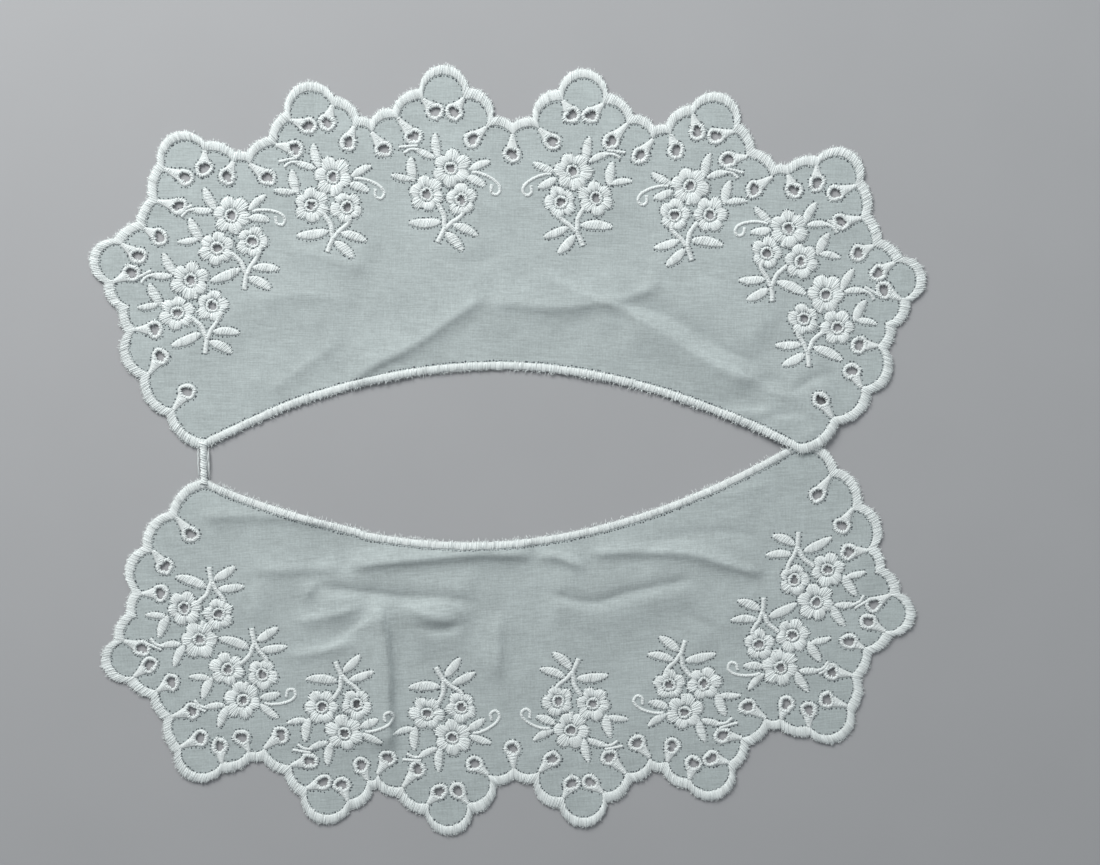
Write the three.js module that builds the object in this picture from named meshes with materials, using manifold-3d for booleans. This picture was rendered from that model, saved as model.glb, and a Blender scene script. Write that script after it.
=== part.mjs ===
// An embroidered collar of fine white cotton, laid flat in two crescent halves.
// Both halves are drawn in one plan: x runs along the collar, y from the tips up to the hem.
// The lower half is the same plan turned over the line of its tips.

import * as THREE from "three";
import { mergeVertices } from "three/addons/utils/BufferGeometryUtils.js";
import Module from "manifold-3d";

const wasm = await Module();
wasm.setup();

// Driving sizes in millimetres and degrees
const HALF_LENGTH = 315; // one half, from side lobe to side lobe
const HALF_DEPTH = 144; // from the line of the tips to the highest lobe
const TIP_SPAN = 228; // between the two tips of a half
const NECK_ARCH = 31.1; // how far the neck edge rises between the tips
const NECK_CURVE = 1.93; // power of the neck curve, 2 would be a parabola
const CLOTH_THICKNESS = 1;
const SCALLOP_WIDTH = 3.5; // satin band on the scalloped hem
const SCALLOP_CROWN = 0.8; // its height above the cloth
const NECK_WIDTH = 2.7; // satin band on the neck edge
const NECK_CROWN = 0.7;
const EYELET_HOLE = 3.6; // diameter of the holes along the hem
const FLOWER_HOLE = 3.1; // diameter of the holes in the flowers
const SPRAY_SIZE = 40; // a spray of flowers, along its stalk
const SPRAY_CROWN = 0.6; // how far the embroidery stands up
const BAR_LENGTH = 11.2; // the bar that joins the left tips
const BAR_WIDTH = 3;
const BAR_HEIGHT = 1.6;
const CLEARANCE = 0.3; // left between pieces that meet edge to edge
const UPPER_TURN = -1.26; // how the upper half lies, turned about its middle
const RIGHT_TIP_STEP = 2; // how far the lower right tip lies past the upper one
const CREASE_TAKE_UP = 3; // cloth lost in the pressed fold of the lower half
const CREASE_WIDTH = 9; // width of the stretch that the fold pulls in
const TIP_PULL_REACH = 42; // how far from a tip its pull is felt
const TIP_PULL_GAIN = 1.3; // how soon the pull is full, as the tip is neared
const TIP_LEAN = 0.2; // how far the band at a tip leans to the middle, for each unit towards the hem
const FOLD_SPREAD = 1.6; // a fold's foot, as a share of its half width
const FOLD_END = 0.2; // how much of a fold is left at its ends
const BAR_SHOULDER = 0.35; // height of the bar's sides, share of its height
const BAR_FLAT = 0.3; // half of the bar's flat top, share of its width
const PATCH_MARGIN = 5; // flat cloth kept beside the neck edge

// Round forms are drawn with this many sides
const EYELET_SIDES = 5;
const FLOWER_HOLE_SIDES = 4;
const HOLE_TURN = 0.5; // radians, so that no side of a hole lies in line with another hole
const NECK_STEPS = 16;
const LOBE_STEPS = { least: 1.4, perBulge: 7 };
const PATCH_COLUMNS = 12;
const PATCH_ROWS = 3;

// One quarter of the scalloped hem, from the middle to the tip, a row for each notch.
// notchX, eyeX: shares of half the length; notchY, eyeY: shares of the depth;
// bulge: rise of the lobe after the notch, as a share of its chord.
const SCALLOPS = [
  // notchX, notchY, bulge, eyeX, eyeY
  [0, 0.855, 0.12, 0, 0.775],
  [0.048, 0.87, 0.24, 0.095, 0.81],
  [0.108, 0.943, 0.47, 0.14, 0.88],
  [0.222, 0.938, 0.15, 0.185, 0.88],
  [0.286, 0.884, 0.16, 0.235, 0.815],
  [0.337, 0.855, 0.1, 0.305, 0.78],
  [0.365, 0.862, 0.165, 0.39, 0.795],
  [0.425, 0.913, 0.42, 0.44, 0.845],
  [0.54, 0.87, 0.12, 0.485, 0.835],
  [0.578, 0.804, 0.12, 0.515, 0.775],
  [0.629, 0.763, 0.1, 0.58, 0.7],
  [0.657, 0.764, 0.125, 0.675, 0.7],
  [0.73, 0.789, 0.39, 0.73, 0.72],
  [0.84, 0.731, 0.135, 0.775, 0.695],
  [0.86, 0.641, 0.1, 0.79, 0.62],
  [0.889, 0.578, 0.1, 0.835, 0.54],
  [0.943, 0.532, 0.43, 0.885, 0.49],
  [0.965, 0.419, 0.15, 0.9, 0.445],
  [0.93, 0.349, 0.1, null, null],
  [0.913, 0.29, 0.26, 0.845, 0.3],
  [0.879, 0.174, 0.19, 0.83, 0.23],
  [0.813, 0.081, 0.16, 0.765, 0.145],
];

// The four sprays of a quarter, from the middle outwards.
const SPRAYS = [
  // x: share of half the length, y: share of the depth, turn in degrees, curled end
  [0.145, 0.735, 0, true],
  [0.425, 0.705, 6, true],
  [0.665, 0.6, 20, true],
  [0.76, 0.43, 21, false],
];

// One spray about its main flower, x away from the collar's middle, y towards the hem.
// All lengths are shares of SPRAY_SIZE.
const FLOWERS = [
  // x, y, radius
  [0, 0, 0.172],
  [0.225, -0.245, 0.158],
  [-0.105, -0.29, 0.142],
];
const FLOWER_LEAVES = [
  // flower, tipX, tipY, width, on a curled spray only
  [0, 0.153, 0.315, 0.085, false],
  [0, 0.36, 0.167, 0.065, false],
  [0, -0.372, 0.073, 0.075, true],
  [0, -0.325, -0.178, 0.08, true],
  [1, 0.375, 0.093, 0.085, false],
  [1, 0.558, -0.073, 0.065, false],
];
const STALK_LEAVES = [
  // baseX, baseY, tipX, tipY, width
  [0.055, -0.51, 0.385, -0.51, 0.09],
  [0, -0.5, -0.265, -0.625, 0.085],
  [0.05, -0.54, -0.12, -0.77, 0.09],
];
const STALKS = [
  // points from the flower down, x and y in turn
  [0.13, -0.31, 0.055, -0.47, 0.112, -0.692],
  [-0.108, -0.36, 0.06, -0.55],
  [-0.02, -0.12, -0.06, -0.2],
];

// The soft folds of each half, from (x1, y1) to (x2, y2).
// x: share of half the length, signed; y: share of the depth.
const FOLDS = {
  upper: [
    // x1, y1, x2, y2, height mm, half width mm
    [-0.5, 0.2, 0.04, 0.44, 1.4, 9],
    [0.02, 0.44, 0.5, 0.2, 1.5, 9],
    [-0.25, 0.42, 0.36, 0.4, 1.2, 8],
  ],
  lower: [
    [-0.54, 0.2, 0.16, 0.3, 2, 8],
    [0.14, 0.27, 0.54, 0.3, 1.6, 8],
    [0.1, 0.42, 0.45, 0.34, 1.2, 8],
    [-0.33, 0.3, -0.33, 0.44, 1.6, 9],
  ],
};

// How each tip lies, as shifts in mm from the plan, outwards and towards the hem.
const TIP_PULLS = {
  upper: { left: [0.5, -1.2], right: [-3.2, 3.6] },
  lower: { left: [-0.6, 0.8], right: [3, 2.5] },
};

const CREASE_X = -0.35; // where the pressed fold crosses, share of half the length
const FREE_ZONE = { reach: 0.54, top: 0.47, shoulder: 0.19, power: 4, bow: 0.03 };
const PETALS = 5;
const PETAL_DIP = 0.8; // radius between two petals, share of the petals' radius
const LEAF_BELLY = 0.45; // where a leaf is widest, share of its length
const STALK_WIDTH = 0.035; // share of SPRAY_SIZE

const HALF_REACH = HALF_LENGTH / 2;
const TIP = new THREE.Vector2(TIP_SPAN / 2, 0);

// Materials
const thread = (name) =>
  new THREE.MeshStandardMaterial({ name, color: 0xe2e8e8, roughness: 0.6, metalness: 0 });
const satin = thread("satin thread");
const batiste = new THREE.MeshStandardMaterial({
  name: "cotton batiste",
  color: 0xb8c1c1,
  roughness: 0.85,
  metalness: 0,
});

const smooth = (t) => {
  const s = THREE.MathUtils.clamp(t, 0, 1);
  return s * s * (3 - 2 * s);
};

const neckHeight = (x) => NECK_ARCH * (1 - Math.abs(x / TIP.x) ** NECK_CURVE);

// Points on the arc from a to b whose middle is the point m, without b itself.
function arcPoints(a, m, b, steps) {
  const along = b.clone().sub(a);
  const chord = along.length();
  along.normalize();
  const out = new THREE.Vector2(-along.y, along.x);
  const middle = a.clone().add(b).multiplyScalar(0.5);
  const rise = m.clone().sub(middle).dot(out);
  const halfAngle = 2 * Math.atan((2 * rise) / chord);
  const radius = chord / 2 / Math.sin(halfAngle);
  const centre = middle.addScaledVector(out, rise - radius);
  return Array.from({ length: steps }, (_, k) => {
    const angle = halfAngle * ((2 * k) / steps - 1);
    return centre
      .clone()
      .addScaledVector(along, radius * Math.sin(angle))
      .addScaledVector(out, radius * Math.cos(angle));
  });
}

// The hem of a whole half from its left tip to its right one: notches and the bulges between.
function hemRows() {
  const right = SCALLOPS.map(([x, y, bulge]) => ({
    at: new THREE.Vector2(x * HALF_REACH, y * HALF_DEPTH),
    bulge,
  }));
  const mirrored = (v) => new THREE.Vector2(-v.x, v.y);
  const left = right.map(({ at, bulge }, k) => ({ at: mirrored(at), bulge: k ? right[k - 1].bulge : bulge }));
  return [
    { at: mirrored(TIP), bulge: right.at(-1).bulge },
    ...left.slice(1).reverse(),
    ...right,
    { at: TIP.clone(), bulge: 0 },
  ];
}

// The hem's outer edge and the inner edge of its satin band, point by point.
function hemEdges() {
  const rows = hemRows();
  const chords = rows.slice(1).map((row, k) => row.at.clone().sub(rows[k].at).normalize());
  const inward = rows.map((_, k) => {
    const along = (chords[k - 1] ?? new THREE.Vector2(1, 0)).clone().add(chords[k] ?? new THREE.Vector2(1, 0));
    return new THREE.Vector2(along.y, -along.x).normalize();
  });
  inward[0].set(TIP_LEAN, 1).normalize();
  inward[rows.length - 1].set(-TIP_LEAN, 1).normalize();
  const outer = [];
  const inner = [];
  chords.forEach((chord, k) => {
    const [a, b] = [rows[k].at, rows[k + 1].at];
    const out = new THREE.Vector2(-chord.y, chord.x);
    const rise = rows[k].bulge * a.distanceTo(b);
    const crest = a.clone().add(b).multiplyScalar(0.5).addScaledVector(out, rise);
    const steps = Math.round(LOBE_STEPS.least + LOBE_STEPS.perBulge * rows[k].bulge);
    outer.push(...arcPoints(a, crest, b, steps));
    const innerA = a.clone().addScaledVector(inward[k], SCALLOP_WIDTH);
    const innerB = b.clone().addScaledVector(inward[k + 1], SCALLOP_WIDTH);
    const innerCrest = crest.clone().addScaledVector(out, -SCALLOP_WIDTH);
    inner.push(...arcPoints(innerA, innerCrest, innerB, steps));
  });
  outer.push(TIP.clone());
  inner.push(TIP.clone().addScaledVector(inward.at(-1), SCALLOP_WIDTH));
  return { outer, inner };
}

// The neck edge from the left tip to the right one, raised by an offset.
function neckPoints(offset, inset) {
  const reach = TIP.x - inset;
  return Array.from({ length: NECK_STEPS + 1 }, (_, k) => {
    const x = reach * ((2 * k) / NECK_STEPS - 1);
    return new THREE.Vector2(x, neckHeight(x) + offset);
  });
}

// A round hole as a polygon with the same area as its circle
function holeOutline(centre, diameter, sides) {
  const step = (2 * Math.PI) / sides;
  const radius = (diameter / 2) * Math.sqrt(step / Math.sin(step));
  return Array.from({ length: sides }, (_, k) => {
    const angle = step * k + HOLE_TURN;
    return new THREE.Vector2(centre.x + radius * Math.cos(angle), centre.y + radius * Math.sin(angle));
  });
}

const eyelet = (centre) => holeOutline(centre, EYELET_HOLE, EYELET_SIDES);
const flowerHole = (centre) => holeOutline(centre, FLOWER_HOLE, FLOWER_HOLE_SIDES);

// A half's own bending of the plan: pulled tips, and the cloth taken up by its fold.
function bendOf(half) {
  const pulls = TIP_PULLS[half];
  return (v) => {
    const side = v.x < 0 ? "left" : "right";
    const sign = v.x < 0 ? -1 : 1;
    const away = Math.hypot(sign * v.x - TIP.x, v.y - TIP.y);
    const pull = smooth(TIP_PULL_GAIN * (1 - away / TIP_PULL_REACH));
    let x = v.x + sign * pulls[side][0] * pull;
    const y = v.y + pulls[side][1] * pull;
    if (half === "lower") x += CREASE_TAKE_UP * (1 - smooth((v.x - CREASE_X * HALF_REACH) / CREASE_WIDTH + 0.5));
    return new THREE.Vector2(x, y);
  };
}

// Turns a half's plan point into its group's frame: the lower half hangs below its tips.
const flipOf = (half) => (half === "upper" ? 1 : -1);
function placerOf(half) {
  const bend = bendOf(half);
  return (v) => {
    const bent = bend(v);
    return new THREE.Vector2(bent.x, flipOf(half) * bent.y);
  };
}

// Height of the folds above the flat cloth at a plan point
function liftOf(half) {
  const folds = FOLDS[half].map(([x1, y1, x2, y2, height, halfWidth]) => ({
    from: new THREE.Vector2(x1 * HALF_REACH, y1 * HALF_DEPTH),
    to: new THREE.Vector2(x2 * HALF_REACH, y2 * HALF_DEPTH),
    height,
    halfWidth,
  }));
  return (v) => {
    let lift = 0;
    for (const { from, to, height, halfWidth } of folds) {
      const along = to.clone().sub(from);
      const length = along.length();
      along.normalize();
      const offset = v.clone().sub(from);
      const t = THREE.MathUtils.clamp(offset.dot(along) / length, 0, 1);
      const away = v.distanceTo(from.clone().lerp(to, t));
      const ridge = smooth(1 - away / (FOLD_SPREAD * halfWidth));
      lift = Math.max(lift, height * ridge * smooth(4 * t * (1 - t) + FOLD_END));
    }
    return lift;
  };
}

const signedArea = (loop) => THREE.ShapeUtils.area(loop);
const counterClockwise = (loop) => (signedArea(loop) < 0 ? loop.slice().reverse() : loop);
const clockwise = (loop) => (signedArea(loop) > 0 ? loop.slice().reverse() : loop);

function geometryOf(vertices, triangles) {
  const geometry = new THREE.BufferGeometry();
  geometry.setAttribute("position", new THREE.Float32BufferAttribute(vertices, 3));
  geometry.setIndex(triangles);
  return geometry;
}

// The part of a half that no embroidery covers, as a grid of plan points.
function freeZone() {
  const reach = FREE_ZONE.reach * HALF_REACH;
  return Array.from({ length: PATCH_COLUMNS + 1 }, (_, i) => {
    const u = (2 * i) / PATCH_COLUMNS - 1;
    const low = neckHeight(u * reach) + PATCH_MARGIN;
    const high = (FREE_ZONE.top - FREE_ZONE.shoulder * Math.abs(u) ** FREE_ZONE.power) * HALF_DEPTH;
    return Array.from({ length: PATCH_ROWS + 1 }, (_, j) => {
      const v = j / PATCH_ROWS;
      const bow = 1 + 4 * FREE_ZONE.bow * v * (1 - v);
      return new THREE.Vector2(u * reach * bow, low + (high - low) * v);
    });
  });
}

const onRim = (i, j) => i === 0 || j === 0 || i === PATCH_COLUMNS || j === PATCH_ROWS;

// Walks round the rim of the grid and names each rim point by its column and row.
function rimCells() {
  const cells = [];
  for (let i = 0; i < PATCH_COLUMNS; i++) cells.push([i, 0]);
  for (let j = 0; j < PATCH_ROWS; j++) cells.push([PATCH_COLUMNS, j]);
  for (let i = PATCH_COLUMNS; i > 0; i--) cells.push([i, PATCH_ROWS]);
  for (let j = PATCH_ROWS; j > 0; j--) cells.push([0, j]);
  return cells;
}

// A half's cloth: a flat sheet with its holes cut through, whose free zone rises in soft folds.
function clothGeometry(half) {
  const place = placerOf(half);
  const lift = liftOf(half);
  const { outer } = hemEdges();
  const neck = neckPoints(0, 0).slice(1, -1).reverse();
  const contour = counterClockwise([...outer, ...neck].map(place));
  const eyelets = eyeletPlaces().map((v) => eyelet(place(v)));
  const flowerHoles = sprayPlaces(half).flatMap((spray) => spray.flowerCentres.map(flowerHole));
  const grid = freeZone();
  const cells = rimCells();
  const rim = cells.map(([i, j]) => place(grid[i][j]));
  const cutHoles = [...eyelets, ...flowerHoles].map(clockwise);
  const faces = THREE.ShapeUtils.triangulateShape(contour, [...cutHoles, rim]);

  const plan = [contour, ...cutHoles, rim].flat();
  const heights = plan.map(() => 0);
  const index = grid.map((column) => column.map(() => -1));
  cells.forEach(([i, j], k) => (index[i][j] = plan.length - rim.length + k));
  grid.forEach((column, i) =>
    column.forEach((v, j) => {
      if (onRim(i, j)) return;
      index[i][j] = plan.push(place(v)) - 1;
      heights.push(lift(v));
    }),
  );
  for (let i = 0; i < PATCH_COLUMNS; i++)
    for (let j = 0; j < PATCH_ROWS; j++) {
      const [a, b, c, d] = [index[i][j], index[i + 1][j], index[i + 1][j + 1], index[i][j + 1]];
      faces.push([a, b, c], [a, c, d]);
    }

  const count = plan.length;
  const vertices = [0, CLOTH_THICKNESS].flatMap((base) => plan.flatMap((v, k) => [v.x, v.y, base + heights[k]]));
  const triangles = [];
  for (const [a, b, c] of faces) {
    const turn = plan[b].clone().sub(plan[a]).cross(plan[c].clone().sub(plan[a]));
    const [p, q] = turn > 0 ? [b, c] : [c, b];
    triangles.push(a + count, p + count, q + count, a, q, p);
  }
  let start = 0;
  for (const loop of [contour, ...cutHoles]) {
    loop.forEach((_, k) => {
      const a = start + k;
      const b = start + ((k + 1) % loop.length);
      triangles.push(a, b, b + count, a, b + count, a + count);
    });
    start += loop.length;
  }
  return geometryOf(vertices, triangles);
}

// A low ridge of satin stitch between two edges, closed at both ends.
function bandGeometry(outer, inner, crown) {
  const sections = outer.map((a, k) => {
    const b = inner[k];
    return [a.x, a.y, 0, (a.x + b.x) / 2, (a.y + b.y) / 2, crown, b.x, b.y, 0];
  });
  const triangles = [];
  for (let k = 0; k + 1 < sections.length; k++)
    for (let edge = 0; edge < 3; edge++) {
      const [a, b] = [3 * k + edge, 3 * k + ((edge + 1) % 3)];
      triangles.push(a, b, b + 3, a, b + 3, a + 3);
    }
  const end = 3 * (sections.length - 1);
  triangles.push(0, 2, 1, end, end + 1, end + 2);
  return outwards(geometryOf(sections.flat(), triangles));
}

// Turns a closed mesh's faces outwards if its volume comes out negative.
function outwards(geometry) {
  const position = geometry.getAttribute("position");
  const index = geometry.getIndex().array;
  const corner = (k) => new THREE.Vector3().fromBufferAttribute(position, index[k]);
  let volume = 0;
  for (let k = 0; k < index.length; k += 3) volume += corner(k).dot(corner(k + 1).cross(corner(k + 2)));
  if (volume < 0) for (let k = 0; k < index.length; k += 3) [index[k], index[k + 1]] = [index[k + 1], index[k]];
  return geometry;
}

// Draws a band's end sections back along the band, which leaves room for its neighbour.
function shortened(points, inset) {
  const pulled = points.map((v) => v.clone());
  const drawBack = (end, next) => end.addScaledVector(next.clone().sub(end).normalize(), inset);
  drawBack(pulled[0], points[1]);
  drawBack(pulled.at(-1), points.at(-2));
  return pulled;
}

function scallopBand(half) {
  const place = placerOf(half);
  const { outer, inner } = hemEdges();
  const edges = [outer, inner].map((edge) => shortened(edge, CLEARANCE).map(place));
  return bandGeometry(...edges, SCALLOP_CROWN);
}

function neckBand(half) {
  const place = placerOf(half);
  const outer = neckPoints(0, 0);
  const { inner: hemInner } = hemEdges();
  const inner = neckPoints(NECK_WIDTH, SCALLOP_WIDTH);
  inner[0] = hemInner[0].clone();
  inner[inner.length - 1] = hemInner.at(-1).clone();
  const edges = [outer, inner].map((edge) => shortened(edge, CLEARANCE).map(place));
  return bandGeometry(...edges, NECK_CROWN);
}

// Every eyelet along a half's hem, in the plan.
function eyeletPlaces() {
  const right = SCALLOPS.filter(([, , , x]) => x !== null).map(
    ([, , , x, y]) => new THREE.Vector2(x * HALF_REACH, y * HALF_DEPTH),
  );
  const left = right.filter((v) => v.x > 0).map((v) => new THREE.Vector2(-v.x, v.y));
  return [...left.reverse(), ...right];
}

// The eight sprays of a half in its group's frame, from left to right.
function sprayPlaces(half) {
  const place = placerOf(half);
  const quarter = (sign) =>
    SPRAYS.map(([x, y, turn, curled]) => {
      const centre = place(new THREE.Vector2(sign * x * HALF_REACH, y * HALF_DEPTH));
      const angle = -THREE.MathUtils.degToRad(turn) * sign * flipOf(half);
      const mirror = (u, v) => new THREE.Vector2(sign * u * SPRAY_SIZE, flipOf(half) * v * SPRAY_SIZE);
      const origin = new THREE.Vector2();
      const flowerCentres = FLOWERS.map(([u, v]) => mirror(u, v).rotateAround(origin, angle).add(centre));
      return { centre, angle, mirror, curled, flowerCentres };
    });
  return [...quarter(-1).reverse(), ...quarter(1)];
}

// A flat piece with straight sides as a manifold solid.
function prism(outline, height, holes = []) {
  const shape = new THREE.Shape(counterClockwise(outline));
  for (const hole of holes) shape.holes.push(new THREE.Path(clockwise(hole)));
  let geometry = new THREE.ExtrudeGeometry(shape, { depth: height, bevelEnabled: false });
  geometry.deleteAttribute("normal");
  geometry.deleteAttribute("uv");
  geometry = mergeVertices(geometry, 1e-4);
  return new wasm.Manifold(
    new wasm.Mesh({
      numProp: 3,
      vertProperties: geometry.getAttribute("position").array,
      triVerts: new Uint32Array(geometry.getIndex().array),
    }),
  );
}

// A pointed leaf, widest a little before its middle.
function leafOutline(base, tip, width) {
  const along = tip.clone().sub(base);
  const side = new THREE.Vector2(-along.y, along.x).normalize().multiplyScalar(width / 2);
  const belly = base.clone().lerp(tip, LEAF_BELLY);
  return [base, belly.clone().add(side), tip, belly.clone().sub(side)];
}

// A thin stalk through its points.
function stalkOutline(points) {
  const half = (STALK_WIDTH * SPRAY_SIZE) / 2;
  const across = points.map((_, k) => {
    const along = (points[k + 1] ?? points[k]).clone().sub(points[k - 1] ?? points[k]).normalize();
    return new THREE.Vector2(-along.y, along.x);
  });
  const edge = (sign) => points.map((v, k) => v.clone().addScaledVector(across[k], sign * half));
  return [...edge(1), ...edge(-1).reverse()];
}

// A flower with the leaves that grow from it: points about its centre, in the order of their angles.
function flowerOutline(centre, radius, leaves) {
  const petals = Array.from({ length: 2 * PETALS }, (_, k) => {
    const reach = radius * (k % 2 ? PETAL_DIP : 1);
    return new THREE.Vector2(reach, 0).rotateAround(new THREE.Vector2(), (Math.PI * (k + 0.5)) / PETALS);
  });
  const leafPoints = leaves.map(({ tip, width }) => {
    const root = tip.clone().sub(centre).setLength(PETAL_DIP * radius);
    return leafOutline(root, tip.clone().sub(centre), width).slice(1);
  });
  const covered = (v) =>
    leafPoints.some(([left, , right]) => left.clone().cross(v) < 0 && right.clone().cross(v) > 0 && v.dot(left) > 0);
  return [...petals.filter((v) => !covered(v)), ...leafPoints.flat()]
    .sort((a, b) => a.angle() - b.angle())
    .map((v) => v.add(centre));
}

// One spray in low relief: three pierced flowers, their leaves and stalks, joined in one solid.
function sprayGeometry(spray) {
  const { mirror, curled, angle } = spray;
  const origin = new THREE.Vector2();
  const solids = FLOWERS.map(([x, y, radius], flower) => {
    const centre = mirror(x, y);
    const leaves = FLOWER_LEAVES.filter(([owner, , , , onlyCurled]) => owner === flower && (curled || !onlyCurled));
    const outline = flowerOutline(
      centre,
      radius * SPRAY_SIZE,
      leaves.map(([, u, v, width]) => ({ tip: mirror(u, v), width: width * SPRAY_SIZE })),
    );
    const hole = flowerHole(centre.clone().rotateAround(origin, angle));
    return prism(outline, SPRAY_CROWN, [hole.map((v) => v.rotateAround(origin, -angle))]);
  });
  for (const [x1, y1, x2, y2, width] of STALK_LEAVES)
    solids.push(prism(leafOutline(mirror(x1, y1), mirror(x2, y2), width * SPRAY_SIZE), SPRAY_CROWN));
  for (const row of STALKS) {
    const points = row.flatMap((x, k) => (k % 2 ? [] : [mirror(x, row[k + 1])]));
    solids.push(prism(stalkOutline(points), SPRAY_CROWN));
  }
  const mesh = solids.reduce((sum, solid) => sum.add(solid)).getMesh();
  return geometryOf(Array.from(mesh.vertProperties), Array.from(mesh.triVerts));
}

function add(parent, name, geometry, material) {
  const mesh = new THREE.Mesh(geometry, material);
  mesh.name = name;
  parent.add(mesh);
  return mesh;
}

function buildHalf(half) {
  const group = new THREE.Group();
  add(group, `${half}_cloth`, clothGeometry(half), batiste);
  add(group, `${half}_scallop_edge`, scallopBand(half), satin).position.z = CLOTH_THICKNESS;
  add(group, `${half}_neck_edge`, neckBand(half), satin).position.z = CLOTH_THICKNESS;
  sprayPlaces(half).forEach((spray, k) => {
    const mesh = add(group, `${half}_spray_${k + 1}`, sprayGeometry(spray), satin);
    mesh.position.set(spray.centre.x, spray.centre.y, CLOTH_THICKNESS);
    mesh.rotation.z = spray.angle;
  });
  return group;
}

// A tip of a half in its group's frame
const tipOf = (half, side) => placerOf(half)(new THREE.Vector2(side * TIP.x, TIP.y));

// The bar between the left tips: a flat rounded rod of stitched thread.
function barGeometry() {
  const profile = [
    [-BAR_WIDTH / 2, BAR_SHOULDER * BAR_HEIGHT],
    [-BAR_FLAT * BAR_WIDTH, 0],
    [BAR_FLAT * BAR_WIDTH, 0],
    [BAR_WIDTH / 2, BAR_SHOULDER * BAR_HEIGHT],
    [BAR_FLAT * BAR_WIDTH, BAR_HEIGHT],
    [-BAR_FLAT * BAR_WIDTH, BAR_HEIGHT],
  ].map(([x, z]) => new THREE.Vector2(x, z));
  const geometry = new THREE.ExtrudeGeometry(new THREE.Shape(profile), {
    depth: BAR_LENGTH,
    bevelEnabled: false,
  });
  geometry.rotateX(Math.PI / 2);
  return geometry;
}

// The lower half is laid so that the bar fits on the left and the tips meet on the right.
function layCollar() {
  const collar = new THREE.Group();
  const upper = buildHalf("upper");
  upper.rotation.z = THREE.MathUtils.degToRad(UPPER_TURN);
  const origin = new THREE.Vector2();
  const upperTip = (side) => tipOf("upper", side).rotateAround(origin, upper.rotation.z);
  const leftTop = upperTip(-1);
  const leftEnd = leftTop.clone().add(new THREE.Vector2(0, -BAR_LENGTH - 2 * CLEARANCE));
  const rightEnd = upperTip(1).add(new THREE.Vector2(RIGHT_TIP_STEP, -CLEARANCE));

  const lower = buildHalf("lower");
  const [left, right] = [tipOf("lower", -1), tipOf("lower", 1)];
  const turn = rightEnd.clone().sub(leftEnd).angle() - right.clone().sub(left).angle();
  const middle = left.add(right).multiplyScalar(0.5).rotateAround(origin, turn);
  const shift = leftEnd.clone().add(rightEnd).multiplyScalar(0.5).sub(middle);
  lower.rotation.z = turn;
  lower.position.set(shift.x, shift.y, 0);

  const bar = add(collar, "joining_bar", barGeometry(), satin);
  bar.position.set(leftTop.x, leftTop.y - CLEARANCE, 0);
  collar.add(upper, lower);

  collar.updateMatrixWorld(true);
  const centre = new THREE.Box3().setFromObject(collar, true).getCenter(new THREE.Vector3());
  collar.position.set(-centre.x, -centre.y, 0);
  return collar;
}

export default layCollar();
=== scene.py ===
"""An embroidered collar of fine white cotton: two crescents laid flat, joined by a stitched bar.

Lengths are in millimetres until a mesh is made. Both halves are drawn in one plan, x along the collar and
y from the line of the tips up to the hem, and each half places its plan on the floor.
"""

import math

import bpy
import numpy as np
from mathutils import Matrix, Vector
from mathutils.geometry import delaunay_2d_cdt


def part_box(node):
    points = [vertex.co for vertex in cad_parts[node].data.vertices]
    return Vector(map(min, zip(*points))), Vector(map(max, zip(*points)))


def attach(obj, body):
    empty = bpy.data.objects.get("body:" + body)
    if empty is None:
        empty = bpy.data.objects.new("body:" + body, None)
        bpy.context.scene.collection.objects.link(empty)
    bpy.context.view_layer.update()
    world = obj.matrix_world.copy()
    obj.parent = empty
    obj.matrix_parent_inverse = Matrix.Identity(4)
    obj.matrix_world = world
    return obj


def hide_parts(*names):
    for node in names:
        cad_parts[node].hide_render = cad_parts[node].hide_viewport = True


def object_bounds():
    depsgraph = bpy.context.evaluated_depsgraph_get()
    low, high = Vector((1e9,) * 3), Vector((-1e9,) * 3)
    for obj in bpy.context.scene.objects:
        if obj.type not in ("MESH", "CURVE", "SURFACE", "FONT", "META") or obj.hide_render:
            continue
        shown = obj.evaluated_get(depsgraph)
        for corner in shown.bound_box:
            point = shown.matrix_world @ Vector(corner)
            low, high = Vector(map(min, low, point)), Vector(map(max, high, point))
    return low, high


bl_info = {
    "name": "Embroidered Collar",
    "version": (1, 0, 0),
    "blender": (4, 5, 0),
    "location": "View3D > Sidebar > Collar",
    "description": "Cotton batiste, satin stitched hems, pierced eyelets and flower sprays",
    "category": "Object",
}

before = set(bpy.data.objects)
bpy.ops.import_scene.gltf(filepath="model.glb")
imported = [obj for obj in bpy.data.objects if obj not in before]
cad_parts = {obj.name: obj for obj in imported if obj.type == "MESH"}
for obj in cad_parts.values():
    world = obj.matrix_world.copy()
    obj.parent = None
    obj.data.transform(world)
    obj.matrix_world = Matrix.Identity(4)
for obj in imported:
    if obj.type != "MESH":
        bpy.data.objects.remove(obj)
CAD_BOX = [list(corner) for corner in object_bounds()]

MM = 0.001
BODY = "root"

# The plan of a half
HALF_LENGTH = 315.0
HALF_DEPTH = 144.0
TIP_REACH = 114.0  # a tip's distance from the middle
NECK_ARCH = 31.1
NECK_CURVE = 1.93  # power of the neck curve
SPRAY_SIZE = 40.0
CLEARANCE = 0.3  # between the bar and the tips it joins
UPPER_TURN = -1.26  # degrees
RIGHT_TIP_STEP = 2.0
CREASE_TAKE_UP = 3.0  # cloth lost in the pressed fold of the lower half
CREASE_WIDTH = 9.0
CREASE_X = -0.35  # share of half the length
TIP_PULL_REACH = 42.0
TIP_PULL_GAIN = 1.3
TIP_LEAN = 0.2  # how far the band at a tip leans to the middle, for each unit towards the hem
CORNER_REACH = 1.5  # most that an inner corner of the hem band lies in, in band widths
HALF_REACH = HALF_LENGTH / 2

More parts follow.
